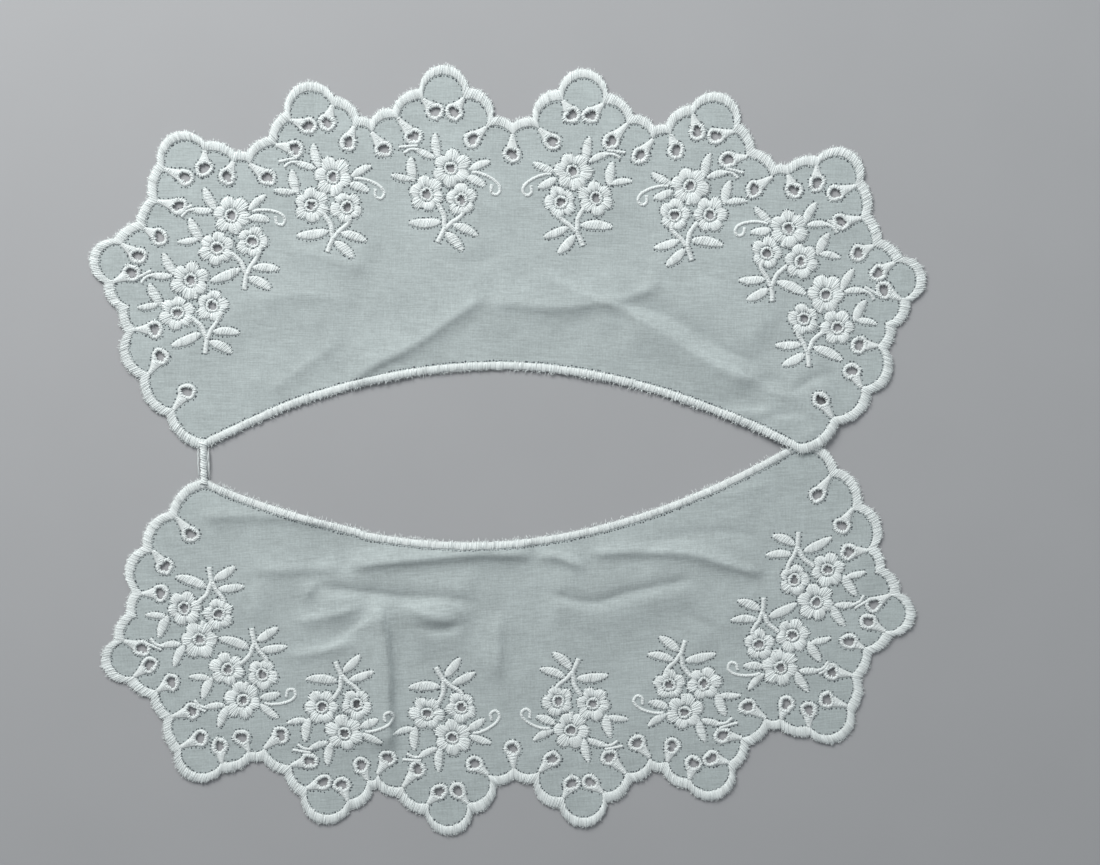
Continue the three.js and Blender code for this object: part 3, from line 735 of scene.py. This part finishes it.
class Wire:
    """A node's output with arithmetic: an expression on wires and numbers adds its Math nodes."""

    def __init__(self, shader, socket):
        self.shader = shader
        self.socket = socket

    def _with(self, operation, a, b):
        return self.shader.node("ShaderNodeMath", {"operation": operation}, a, b)

    def __add__(self, other):
        return self._with("ADD", self, other)

    def __radd__(self, other):
        return self._with("ADD", other, self)

    def __sub__(self, other):
        return self._with("SUBTRACT", self, other)

    def __rsub__(self, other):
        return self._with("SUBTRACT", other, self)

    def __mul__(self, other):
        return self._with("MULTIPLY", self, other)

    def __rmul__(self, other):
        return self._with("MULTIPLY", other, self)

    def clamped(self):
        return self._with("MINIMUM", self._with("MAXIMUM", self, 0.0), 1.0)


class Shader:
    """A material's node tree, with one method that adds any node."""

    def __init__(self, name):
        self.material = bpy.data.materials.new(name)
        self.material.use_nodes = True
        self.tree = self.material.node_tree
        self.surface = self.tree.nodes["Principled BSDF"]

    def put(self, socket, value):
        if isinstance(value, Wire):
            self.tree.links.new(value.socket, socket)
        else:
            socket.default_value = value

    def node(self, kind, settings=None, *values, out=0, **named):
        """Adds a node: its settings first, then its sockets in order and by name."""
        made = self.tree.nodes.new(kind)
        for key, value in (settings or {}).items():
            setattr(made, key, value)
        for socket, value in zip(made.inputs, values):
            self.put(socket, value)
        for key, value in named.items():
            self.put(made.inputs[key.replace("_", " ")], value)
        return Wire(self, made.outputs[out])

    def set(self, **named):
        for key, value in named.items():
            self.put(self.surface.inputs[key.replace("_", " ")], value)

    def plan(self, turn=0.0, stretch=(1.0, 1.0, 1.0)):
        """The object's own coordinates in millimetres, turned back to the cloth's grain and stretched."""
        spot = self.node("ShaderNodeTexCoord", out="Object")
        scale = tuple(k / MM for k in stretch)
        grain = self.node("ShaderNodeMapping", {"vector_type": "POINT"}, Vector=spot, Rotation=(0, 0, -turn))
        return self.node("ShaderNodeMapping", {"vector_type": "POINT"}, Vector=grain, Scale=scale)

    def noise(self, spot, scale, detail=2.0):
        return self.node("ShaderNodeTexNoise", Vector=spot, Scale=scale, Detail=detail)

    def blend(self, share, dark, light):
        made = self.tree.nodes.new("ShaderNodeMix")
        made.data_type = "RGBA"
        self.put(made.inputs["Factor"], share)
        self.put(made.inputs[6], (*dark, 1.0))
        self.put(made.inputs[7], (*light, 1.0))
        return Wire(self, made.outputs[2])

    def bump(self, height, strength, distance):
        return self.node("ShaderNodeBump", None, Height=height, Strength=strength, Distance=distance * MM)


def shaded(colour, share):
    return tuple(share * channel for channel in colour)


def batiste(half):
    """Fine plain weave: crossed threads, long slubs both ways and a cloudy density."""
    colour = bpy.context.scene.collar_colours.cloth
    shader = Shader(f"{half.name} batiste")
    weft = shader.noise(shader.plan(half.turn, (0.16, 2.6, 1.0)), 1.0, 4.0)
    warp = shader.noise(shader.plan(half.turn, (2.6, 0.16, 1.0)), 1.0, 4.0)
    cloud = shader.noise(shader.plan(half.turn, (0.045, 0.06, 1.0)), 1.0, 2.0)
    speck = shader.noise(shader.plan(half.turn), 1.3, 2.0)
    across, along = (
        shader.node(
            "ShaderNodeTexWave",
            {"wave_type": "BANDS", "wave_profile": "SIN", "bands_direction": way},
            Vector=shader.plan(half.turn),
            Scale=0.95,
            Distortion=0.6,
        )
        for way in "XY"
    )
    weave = (across + along) * 0.5
    threads = (weft - 0.5) * 1.5 + (warp - 0.5) * 0.8 + (weave - 0.5) * 0.2
    share = (0.5 + threads + (cloud - 0.5) * 0.6 + (speck - 0.5) * 0.9).clamped()
    tinted = shader.blend(share, shaded(colour, 0.78), shaded(colour, 1.2))
    shader.set(
        Base_Color=tinted,
        Roughness=0.86 - 0.1 * weave,
        Sheen_Weight=0.15,
        Sheen_Roughness=0.5,
        Normal=shader.bump(weave * 0.4 + weft * 0.6 + warp * 0.5, 0.35, 0.18),
    )
    return shader.material


def satin_thread():
    """Soft cotton thread: each stitch has its own tone, and fine plies run through it. The padding's lower
    tone is painted shade in the gaps between the threads.
    """
    colour = bpy.context.scene.collar_colours.thread
    shader = Shader("satin thread")
    tone = shader.node("ShaderNodeAttribute", {"attribute_name": "tone"}, out="Fac")
    plies = shader.noise(shader.plan(), 4.5, 2.0)
    wear = shader.noise(shader.plan(), 0.12, 3.0)
    # tone 0.8, the padding's, gives the dark end: painted shade between the threads; the stitches' own tones
    # vary at random
    share = ((tone - 0.8) * 2.5 + (plies - 0.5) * 0.7 + (wear - 0.5) * 0.5).clamped()
    shader.set(
        Base_Color=shader.blend(share, shaded(colour, 0.79), shaded(colour, 0.95)),
        Roughness=0.8 - 0.12 * plies,
        Sheen_Weight=0.12,
        Normal=shader.bump(plies, 0.3, 0.08),
    )
    return shader.material


def needle_shade():
    """The shade in the small holes that the needle left."""
    colour = bpy.context.scene.collar_colours.prick_shade
    shader = Shader("needle holes")
    spot = shader.noise(shader.plan(), 1.6, 1.0)
    shader.set(Base_Color=shader.blend(spot, shaded(colour, 0.6), shaded(colour, 2.2)), Roughness=0.9)
    return shader.material


def floor_finish():
    """A plain pale matt floor with hardly any mottle."""
    colour = bpy.context.scene.collar_colours.floor
    shader = Shader("pale floor")
    mottle = shader.noise(shader.plan(), 0.02, 3.0)
    shader.set(Base_Color=shader.blend(mottle, shaded(colour, 0.97), shaded(colour, 1.03)), Roughness=0.8)
    return shader.material


def material(name, make):
    """The material of that name, made at its first use."""
    return bpy.data.materials.get(name) or make()


def thread():
    return material("satin thread", satin_thread)


# The cloth


def ring_points(centre, radius, count):
    angle = np.arange(count) * 2 * math.pi / count
    return centre + radius * np.stack([np.cos(angle), np.sin(angle)], axis=1)


def in_loop(points, loop):
    """Whether each point lies in a closed loop: it counts the sides that a ray to the right crosses."""
    a, b = loop, np.roll(loop, -1, axis=0)
    rise = np.where(a[:, 1] == b[:, 1], 1e-12, b[:, 1] - a[:, 1])
    found = []
    for some in np.array_split(points, 1 + len(points) // 4000):
        x, y = some[:, :1], some[:, 1:]
        spans = (a[:, 1] > y) != (b[:, 1] > y)
        crossing = a[:, 0] + (y - a[:, 1]) * (b[:, 0] - a[:, 0]) / rise
        found.append((spans & (x < crossing)).sum(axis=1) % 2 == 1)
    return np.concatenate(found)


def near(points, others, distance):
    """Whether each point lies nearer than this to any of the others."""
    found = []
    for some in np.array_split(points, 1 + len(points) // 2000):
        gap = (some[:, None, 0] - others[:, 0]) ** 2 + (some[:, None, 1] - others[:, 1]) ** 2
        found.append(gap.min(axis=1) < distance * distance)
    return np.concatenate(found)


def cloth_outline(half, sizes):
    """The cloth's edge, in the middle of the satin bands, without the points that crowd at the tips."""
    outer, inner = hem_band(sizes.hem_width, sizes.grid, centred=True)
    hem = outer + UNDER_BAND * (inner - outer)
    outer, inner = neck_band(sizes.neck_width, sizes.hem_width, sizes.grid)
    neck = (outer + UNDER_BAND * (inner - outer))[3:-3]
    return half.place(np.concatenate([hem, neck[::-1]]))


def flower_centres(half):
    places = [to_floor([flower[:2] for flower in FLOWERS]) for to_floor, _ in spray_frames(half)]
    return np.concatenate(places)


def cloth_holes(half, sizes):
    """Every pierced hole as its centre and the radius at which the cloth ends, under its ring of stitches."""
    eyes, _ = eyelet_rows(sizes.hem_width)
    holes = [(centre, sizes.eyelet / 2 + UNDER_EYELET) for centre in half.place(eyes)]
    return holes + [(centre, sizes.flower_hole / 2 + UNDER_FLOWER) for centre in flower_centres(half)]


def cloth_plan(half, sizes):
    """Points and triangles of the flat cloth: an even grid of points, joined up to its edge and its holes."""
    rng = np.random.default_rng(7)
    outline = cloth_outline(half, sizes)
    holes = cloth_holes(half, sizes)
    loops = [outline, *(ring_points(centre, radius, 14) for centre, radius in holes)]
    lo, hi = outline.min(axis=0), outline.max(axis=0)
    columns = np.arange(lo[0], hi[0], sizes.grid)
    rows = np.arange(lo[1], hi[1], sizes.grid)
    grid = np.stack(np.meshgrid(columns, rows), axis=-1).reshape(-1, 2)
    grid = turned(grid - grid.mean(axis=0), half.turn) + grid.mean(axis=0)
    grid = grid + rng.uniform(-0.12, 0.12, grid.shape) * sizes.grid
    grid = grid[in_loop(grid, outline)]
    for centre, radius in holes:
        grid = grid[np.linalg.norm(grid - centre, axis=1) > radius + 0.4 * sizes.grid]
    edge = np.concatenate(loops)
    grid = grid[~near(grid, edge, 0.6 * sizes.grid)]
    sides, start = [], 0
    for loop in loops:
        sides += [(start + k, start + (k + 1) % len(loop)) for k in range(len(loop))]
        start += len(loop)
    corners = [Vector(p) for p in np.concatenate([edge, grid]).tolist()]
    found, _, faces, *_ = delaunay_2d_cdt(corners, sides, [], 0, 1e-5)
    plan = np.array([tuple(v) for v in found])
    faces = np.array(faces)
    centres = plan[faces].mean(axis=1)
    kept = in_loop(centres, outline)
    for centre, radius in holes:
        kept &= np.linalg.norm(centres - centre, axis=1) > radius * 0.97
    faces = faces[kept]
    a, b, c = (plan[faces[:, k]] for k in range(3))
    area = np.cross(b - a, c - a)
    return plan, np.where((area > 0)[:, None], faces, faces[:, ::-1]), np.abs(area).sum() / 2


def closed_sheet(plan, faces, top, thickness):
    """A thin closed sheet: the plan at its height, again below it, and walls on each open side."""
    count = len(plan)
    points = np.concatenate([np.column_stack([plan, top]), np.column_stack([plan, top - thickness])])
    sides = np.concatenate([faces[:, [0, 1]], faces[:, [1, 2]], faces[:, [2, 0]]])
    keys = sides[:, 0] * count + sides[:, 1]
    opposite = sides[:, 1] * count + sides[:, 0]
    a, b = sides[~np.isin(keys, opposite)].T
    walls = np.concatenate([np.stack([a + count, b + count, b], axis=1), np.stack([a + count, b, a], axis=1)])
    triangles = np.concatenate([faces, faces[:, ::-1] + count, walls])
    used = np.unique(triangles)
    index = np.zeros(len(points), int)
    index[used] = np.arange(len(used))
    return points[used], index[triangles]


class COLLAR_OT_cloth(bpy.types.Operator):
    """Lay the batiste of both halves, pierced and softly folded"""

    bl_idname = "collar.cloth"
    bl_label = "Cloth"

    def execute(self, context):
        sizes = context.scene.collar_sizes
        for half in HALVES.values():
            plan, faces, area = cloth_plan(half, sizes)
            points, triangles = closed_sheet(plan, faces, half.ground(plan), sizes.cloth)
            sheet = mesh_object(f"{half.name}_cloth_sheet", points, triangles, batiste(half))
            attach(sheet, BODY)
            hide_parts(f"{half.name}_cloth")
        return {"FINISHED"}


# The satin bands


def stitched_band(half, seed, edges, pad_edges, crown, width):
    """Padding along a band and satin stitches over it, with needle pricks along its inner side."""
    work = Stitchwork(half, seed)
    outer, inner = (half.place(edge) for edge in edges)
    pad_outer, pad_inner = (half.place(edge) for edge in pad_edges)
    work.pad(pad_outer, pad_inner, crown * BAND_PAD, HEM_SINK)
    work.satin(outer, inner, crown, width, LONG_STITCH, ragged=0.3)
    inwards = unit(inner - outer)
    half.pricks.append(scatter(work.rng, inner + inwards * 0.5, PRICK_PITCH, 0.12))
    return work


class COLLAR_OT_bands(bpy.types.Operator):
    """Work the satin bands on the scalloped hem and on the neck edge"""

    bl_idname = "collar.bands"
    bl_label = "Satin bands"

    def execute(self, context):
        sizes = context.scene.collar_sizes
        for half in HALVES.values():
            hem = stitched_band(
                half,
                11 + half.flip,
                hem_band(sizes.hem_width, sizes.pitch, centred=True),
                hem_band(sizes.hem_width, PAD_STEP * sizes.pitch, centred=False),
                sizes.hem_crown,
                sizes.pitch * THREAD_SHARE,
            ).finished(f"{half.name}_hem_stitches", thread())
            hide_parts(f"{half.name}_scallop_edge")
            neck = stitched_band(
                half,
                21 + half.flip,
                neck_band(sizes.neck_width, sizes.hem_width, sizes.pitch),
                neck_band(sizes.neck_width, sizes.hem_width, PAD_STEP * sizes.pitch),
                sizes.neck_crown,
                sizes.pitch * THREAD_SHARE,
            ).finished(f"{half.name}_neck_stitches", thread())
            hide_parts(f"{half.name}_neck_edge")
        return {"FINISHED"}


# Eyelets


def worked_ring(work, centre, inner, outer, crown, pitch, uneven):
    """A ring of stitches round a hole: both its edges waver with the angle, the inner one more."""
    count = max(12, round(math.pi * (inner + outer) / pitch))
    angle = np.arange(count) * 2 * math.pi / count
    phases = work.rng.uniform(0, 2 * math.pi, 3)
    waves = [(2, 1), (3, 0.6), (5, 0.3)]
    waver = sum(size * np.cos(times * angle + phase) for (times, size), phase in zip(waves, phases))
    ray = np.stack([np.cos(angle), np.sin(angle)], axis=1)
    near_edge = centre + ray * (inner + uneven * waver)[:, None]
    far_edge = centre + ray * (outer + 0.7 * uneven * waver)[:, None]
    work.pad(far_edge, near_edge, crown * BAND_PAD, SPRAY_SINK, closed=True)
    width = 2 * math.pi * outer / count * 1.02
    work.satin(near_edge, far_edge, crown, width, SHORT_STITCH, ragged=0.34)
    return far_edge + ray * 0.5


class COLLAR_OT_eyelets(bpy.types.Operator):
    """Work the eyelets near the hem, each with a stem to its notch"""

    bl_idname = "collar.eyelets"
    bl_label = "Eyelets"

    def execute(self, context):
        sizes = context.scene.collar_sizes
        inner = sizes.eyelet / 2
        outer = inner + sizes.eyelet_ring
        for half in HALVES.values():
            work = Stitchwork(half, 31 + half.flip)
            for eye, corner in zip(*(half.place(rows) for rows in eyelet_rows(sizes.hem_width))):
                rim = worked_ring(work, eye, inner, outer, EYELET_CROWN, sizes.pitch, EYELET_WAVER)
                half.pricks.append(scatter(work.rng, np.concatenate([rim, rim[:1]]), RIM_PITCH, 0.12))
                self.stem(work, eye, corner, outer, sizes)
            work.finished(f"{half.name}_eyelet_rings", thread())
        return {"FINISHED"}

    def stem(self, work, eye, corner, outer, sizes):
        """A column of cross stitches from the ring to the hem band's corner, wider at the ring."""
        way = unit(corner - eye)
        start, end = outer * 0.75, np.linalg.norm(corner - eye) + 0.5
        count = max(4, round((end - start) / sizes.leaf_pitch))
        run = np.linspace(start, end, count)[:, None]
        spread = np.linspace(1, 0, count)[:, None]
        half_width = sizes.stem / 2 * (1 + 1.9 * spread**1.5)
        line = eye + way * run
        side = sideways(way) * half_width
        work.pad(line + side, line - side, LOW_PAD, SPRAY_SINK)
        work.satin(line + side, line - side, STEM_CROWN, sizes.leaf_pitch, SHORT_STITCH, ragged=0.16, slant=1)
        prick_beside(work, line[1:-1], side[1:-1] + sideways(way) * PRICK_GAP, STALK_PITCH, 0.08)


# Sprays


def flower(work, to_floor, row, sizes):
    """Petals as radial stitches whose reach swells and dips with the angle, about a ringed hole."""
    x, y, radius, petals = row
    hole = sizes.flower_hole / 2
    inner = hole + sizes.flower_ring + 0.42
    outer = radius * SPRAY_SIZE
    count = round(math.pi * (inner + outer) / (sizes.pitch * 1.02))
    angle = (np.arange(count) + 0.5) * 2 * math.pi / count
    phase = work.rng.uniform(0, math.pi)
    swell = np.abs(np.cos(petals * angle / 2 + phase)) ** 0.8
    sizes_apart = 1 + 0.05 * np.cos(angle + 2 * phase) + 0.04 * np.cos(2 * angle + phase)
    reach = outer * (0.56 + 0.48 * swell**0.4) * sizes_apart
    ray = np.stack([np.cos(angle), np.sin(angle)], axis=1)
    centre = np.array([x, y]) * SPRAY_SIZE
    near_edge = to_floor((centre + ray * inner) / SPRAY_SIZE)
    far_edge = to_floor((centre + ray * reach[:, None]) / SPRAY_SIZE)
    crown = sizes.spray_crown * (0.3 + 0.85 * swell**0.7)
    work.pad(far_edge, near_edge, crown * SPRAY_PAD, SPRAY_SINK, closed=True)
    width = 2 * math.pi * reach / count * 0.86
    work.satin(near_edge, far_edge, crown, width, MIDDLE_STITCH, ragged=0.42)
    middle = to_floor(centre / SPRAY_SIZE)
    ring = hole + sizes.flower_ring
    worked_ring(work, middle, hole, ring, FLOWER_RING_CROWN, sizes.pitch, FLOWER_RING_WAVER)
    half = work.half
    half.pricks.append(ring_points(middle, inner - 0.2, 14) + work.rng.normal(0, 0.07, (14, 2)))
    rim = far_edge + unit(far_edge - middle) * 0.5
    half.pricks.append(scatter(work.rng, rim, PRICK_PITCH, 0.12))


def leaf(work, to_floor, row, sizes):
    """A pointed oval of cross stitches: its width swells as a power of the way along and back."""
    base_x, base_y, tip_x, tip_y, width, _ = row
    base, tip = to_floor([base_x, base_y]), to_floor([tip_x, tip_y])
    length = np.linalg.norm(tip - base)
    count = max(8, round(length / sizes.leaf_pitch))
    share = (np.arange(count) + 0.5) / count
    belly = (4 * share * (1 - share)) ** 0.62 * (1.08 - 0.2 * share)
    half_width = np.maximum(width * SPRAY_SIZE / 2 * belly, 0.28)[:, None]
    axis = unit(tip - base)
    bow = sideways(axis) * (0.035 * length * np.sin(math.pi * share))[:, None] * work.half.flip
    line = base + axis * (length * share)[:, None] + bow
    side = sideways(axis) * half_width
    lean = axis * 0.32 * half_width
    crown = sizes.spray_crown * (0.45 + 0.65 * belly)
    work.pad(line + side, line - side, crown * SPRAY_PAD, SPRAY_SINK)
    left, right = line + side + lean, line - side - lean
    work.satin(left, right, crown, sizes.leaf_pitch * THREAD_SHARE, MIDDLE_STITCH, ragged=0.2)
    prick_beside(work, line, side + lean + sideways(axis) * PRICK_GAP, PRICK_PITCH, 0.1)


def strand(work, to_floor, row, sizes):
    """A thin stalk: short slanted stitches along a smooth line, with needle holes beside all but a curl."""
    width, curl, route = row
    line = even_points(to_floor(np.reshape(route, (-1, 2))), sizes.leaf_pitch)
    side = sideways(unit(np.gradient(line, axis=0))) * width * SPRAY_SIZE / 2
    work.pad(line + side, line - side, LOW_PAD, SPRAY_SINK)
    thick = sizes.leaf_pitch * 1.1
    work.satin(line + side, line - side, STALK_CROWN, thick, SHORT_STITCH, ragged=0.12, slant=1)
    if not curl:
        prick_beside(work, line, side + 0.4 * unit(side), STALK_PITCH, 0.1)


class COLLAR_OT_sprays(bpy.types.Operator):
    """Embroider the sixteen sprays: flowers, leaves, stalks and curls"""

    bl_idname = "collar.sprays"
    bl_label = "Sprays"

    def execute(self, context):
        sizes = context.scene.collar_sizes
        for half in HALVES.values():
            for k, (to_floor, curled) in enumerate(spray_frames(half), start=1):
                work = Stitchwork(half, 40 + 10 * half.flip + k)
                for row in STRANDS:
                    if curled or not row[1]:
                        strand(work, to_floor, row, sizes)
                for row in LEAVES:
                    if curled or not row[5]:
                        leaf(work, to_floor, row, sizes)
                for row in FLOWERS:
                    flower(work, to_floor, row, sizes)
                spray = work.finished(f"{half.name}_spray_stitches_{k}", thread())
                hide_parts(f"{half.name}_spray_{k}")
        return {"FINISHED"}


# The bar between the left tips


class COLLAR_OT_bar(bpy.types.Operator):
    """Wind the thread bar that joins the left tips, with a few stray ends"""

    bl_idname = "collar.bar"
    bl_label = "Joining bar"

    def execute(self, context):
        sizes = context.scene.collar_sizes
        lo, hi = (np.array(corner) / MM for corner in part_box("joining_bar"))
        x, half_width = (lo[0] + hi[0]) / 2, (hi[0] - lo[0]) / 2
        work = Stitchwork(HALVES["upper"], 61)
        y = np.arange(lo[1] - 2.2, hi[1] + 2.6, sizes.pitch)
        share = np.abs(2 * (y - y.mean()) / np.ptp(y))
        wide = half_width * (0.84 + 0.3 * share**6 + 0.05 * np.sin(y * 1.7))
        left = np.column_stack([x - wide, y])
        right = np.column_stack([x + wide, y])
        crown = hi[2] - CLOTH_TOP
        work.pad(left, right, crown * 0.85, HEM_SINK)
        work.satin(left, right, crown, sizes.pitch * 1.15, LONG_STITCH, ragged=0.12, slant=2)
        rng = work.rng
        for side in (-1, 1):
            loose = rng.uniform(0.9, 1.45, 5) * half_width
            start = np.column_stack([x + side * loose, rng.uniform(lo[1] - 1.5, lo[1] + 3, 5)])
            swing = side * loose * rng.uniform(0.8, 1.2, 5)
            end = np.column_stack([x + swing, rng.uniform(hi[1] - 4, hi[1] + 1.5, 5)])
            work.threads(start, end, 0.5, 0.2, np.linspace(0, 1, 7), sink=0.1, wander=0.16)
        bar = work.finished("joining_bar_stitches", thread())
        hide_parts("joining_bar")
        return {"FINISHED"}


# Needle pricks and cut threads


class COLLAR_OT_pricks(bpy.types.Operator):
    """Mark the small holes that the needle left beside the stitches, as dark dots of painted shade"""

    bl_idname = "collar.pricks"
    bl_label = "Needle holes"

    def execute(self, context):
        for half in HALVES.values():
            places = np.concatenate(half.pricks)
            rng = np.random.default_rng(71 + half.flip)
            radius = rng.uniform(0.24, 0.4, len(places))[:, None, None]
            stretch = rng.uniform(0.75, 1.3, (2, len(places))).T
            corners = np.array([[1, 0], [0, 1], [-1, 0], [0, -1], [0, 0], [0, 0]], float)
            plan = places[:, None] + corners * radius * stretch[:, None]
            height = half.ground(places)[:, None] + np.array([0.02, 0.02, 0.02, 0.02, 0.07, -0.15])
            points = np.concatenate([plan, height[..., None]], axis=-1).reshape(-1, 3)
            top = np.array([[k, (k + 1) % 4, 4] for k in range(4)])
            below = np.array([[(k + 1) % 4, k, 5] for k in range(4)])
            one = np.concatenate([top, below])
            triangles = (np.arange(len(places))[:, None, None] * 6 + one[None]).reshape(-1, 3)
            # dark dots of painted shade, flush with the cloth, where the needle pierced it
            holes = mesh_object(
                f"{half.name}_needle_holes", points, triangles, material("needle holes", needle_shade)
            )
            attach(holes, BODY)
        return {"FINISHED"}


def cut_ends(work, edges, every, shortest, longest):
    """Cut ends of thread that stand out from a band's outer side."""
    outer, inner = (work.half.place(edge) for edge in edges)
    run = np.linalg.norm(np.diff(outer, axis=0), axis=1).sum()
    rng = work.rng
    count = round(run / every)
    picked = rng.integers(0, len(outer), count)
    turn = rng.normal(0, 0.55, count)
    out = unit(outer - inner)[picked]
    out = out * np.cos(turn)[:, None] + sideways(out) * np.sin(turn)[:, None]
    length = shortest + (longest - shortest) * rng.random(count) ** 3
    start = outer[picked] - out * 0.3
    end = start + out * (0.3 + length)[:, None]
    height = rng.uniform(0.05, 0.35, count)
    work.threads(start, end, height, 0.2, SHORT_STITCH, sink=0.12, wander=0.06)


class COLLAR_OT_ends(bpy.types.Operator):
    """Leave the short cut ends of thread along the hem and the neck edge"""

    bl_idname = "collar.ends"
    bl_label = "Cut threads"

    def execute(self, context):
        sizes = context.scene.collar_sizes
        for half in HALVES.values():
            work = Stitchwork(half, 81 + half.flip)
            cut_ends(work, hem_band(sizes.hem_width, sizes.pitch, centred=True), *HEM_ENDS)
            cut_ends(work, neck_band(sizes.neck_width, sizes.hem_width, sizes.pitch), *NECK_ENDS)
            work.finished(f"{half.name}_cut_threads", thread())
        return {"FINISHED"}


# Stage

AIM = (15.07, 9.14, 0.0)  # what the middle of the picture shows
SIGHT = (0.0168, -0.062, -0.998)  # the way the camera looks
DISTANCE = 532.0
LENS = 45.8
SENSOR = 36.0
FLOOR_SIZE = 3000.0


def look(obj, place, target, up):
    """Puts a camera or light at a place so that it faces the target."""
    back = (Vector(place) - Vector(target)).normalized()
    right = Vector(up).cross(back).normalized()
    turn = Matrix((right, back.cross(right), back)).transposed().to_4x4()
    obj.matrix_world = Matrix.Translation(Vector(place) * MM) @ turn


def soft_light(name, place, size, watts, colour):
    lamp = bpy.data.lights.new(name, "AREA")
    lamp.shape = "SQUARE"
    lamp.size = size * MM
    lamp.energy = watts
    lamp.color = colour
    obj = bpy.data.objects.new(name, lamp)
    bpy.context.collection.objects.link(obj)
    look(obj, place, (0, 0, 0), (0, 1, 0.01))


class COLLAR_OT_stage(bpy.types.Operator):
    """Set the pale floor, the soft lights and the camera"""

    bl_idname = "collar.stage"
    bl_label = "Stage"

    def execute(self, context):
        half = FLOOR_SIZE / 2
        corners = np.array([[-half, -half, 0], [half, -half, 0], [half, half, 0], [-half, half, 0]])
        floor = mesh_object("floor", corners, np.array([[0, 1, 2], [0, 2, 3]]), floor_finish())
        soft_light("key", (-520, 980, 700), 600, 20.7, (1.0, 0.985, 0.96))
        soft_light("fill", (600, 600, 1100), 1300, 3.5, (0.95, 0.98, 1.0))
        world = bpy.data.worlds.new("studio")
        world.use_nodes = True
        sky = world.node_tree.nodes["Background"]
        sky.inputs["Color"].default_value = (0.93, 0.97, 1.0, 1.0)
        sky.inputs["Strength"].default_value = 0.27
        context.scene.world = world
        context.scene.view_settings.view_transform = "Standard"
        data = bpy.data.cameras.new("camera")
        data.sensor_fit = "HORIZONTAL"
        data.sensor_width = SENSOR
        data.lens = LENS
        camera = bpy.data.objects.new("camera", data)
        context.collection.objects.link(camera)
        eye = Vector(AIM) - Vector(SIGHT).normalized() * DISTANCE
        look(camera, eye, AIM, (0, 1, 0))
        context.scene.camera = camera
        return {"FINISHED"}


OPERATORS = [
    COLLAR_OT_stage,
    COLLAR_OT_cloth,
    COLLAR_OT_bands,
    COLLAR_OT_eyelets,
    COLLAR_OT_sprays,
    COLLAR_OT_bar,
    COLLAR_OT_pricks,
    COLLAR_OT_ends,
]


class COLLAR_PT_panel(bpy.types.Panel):
    """Lists the collar's pieces, sizes and colours"""

    bl_idname = "COLLAR_PT_panel"
    bl_label = "Collar"
    bl_space_type = "VIEW_3D"
    bl_region_type = "UI"
    bl_category = "Collar"

    def draw(self, context):
        for group in (context.scene.collar_sizes, context.scene.collar_colours):
            for name in group.__annotations__:
                self.layout.prop(group, name)
        for operator in OPERATORS:
            self.layout.operator(operator.bl_idname)


CLASSES = [CollarSizes, CollarColours, *OPERATORS, COLLAR_PT_panel]


def register():
    for each in CLASSES:
        bpy.utils.register_class(each)
    bpy.types.Scene.collar_sizes = bpy.props.PointerProperty(type=CollarSizes)
    bpy.types.Scene.collar_colours = bpy.props.PointerProperty(type=CollarColours)


def unregister():
    del bpy.types.Scene.collar_colours
    del bpy.types.Scene.collar_sizes
    for each in reversed(CLASSES):
        bpy.utils.unregister_class(each)


def main():
    register()
    for operator in OPERATORS:
        group, name = operator.bl_idname.split(".")
        getattr(getattr(bpy.ops, group), name)()


if __name__ == "__main__":
    main()
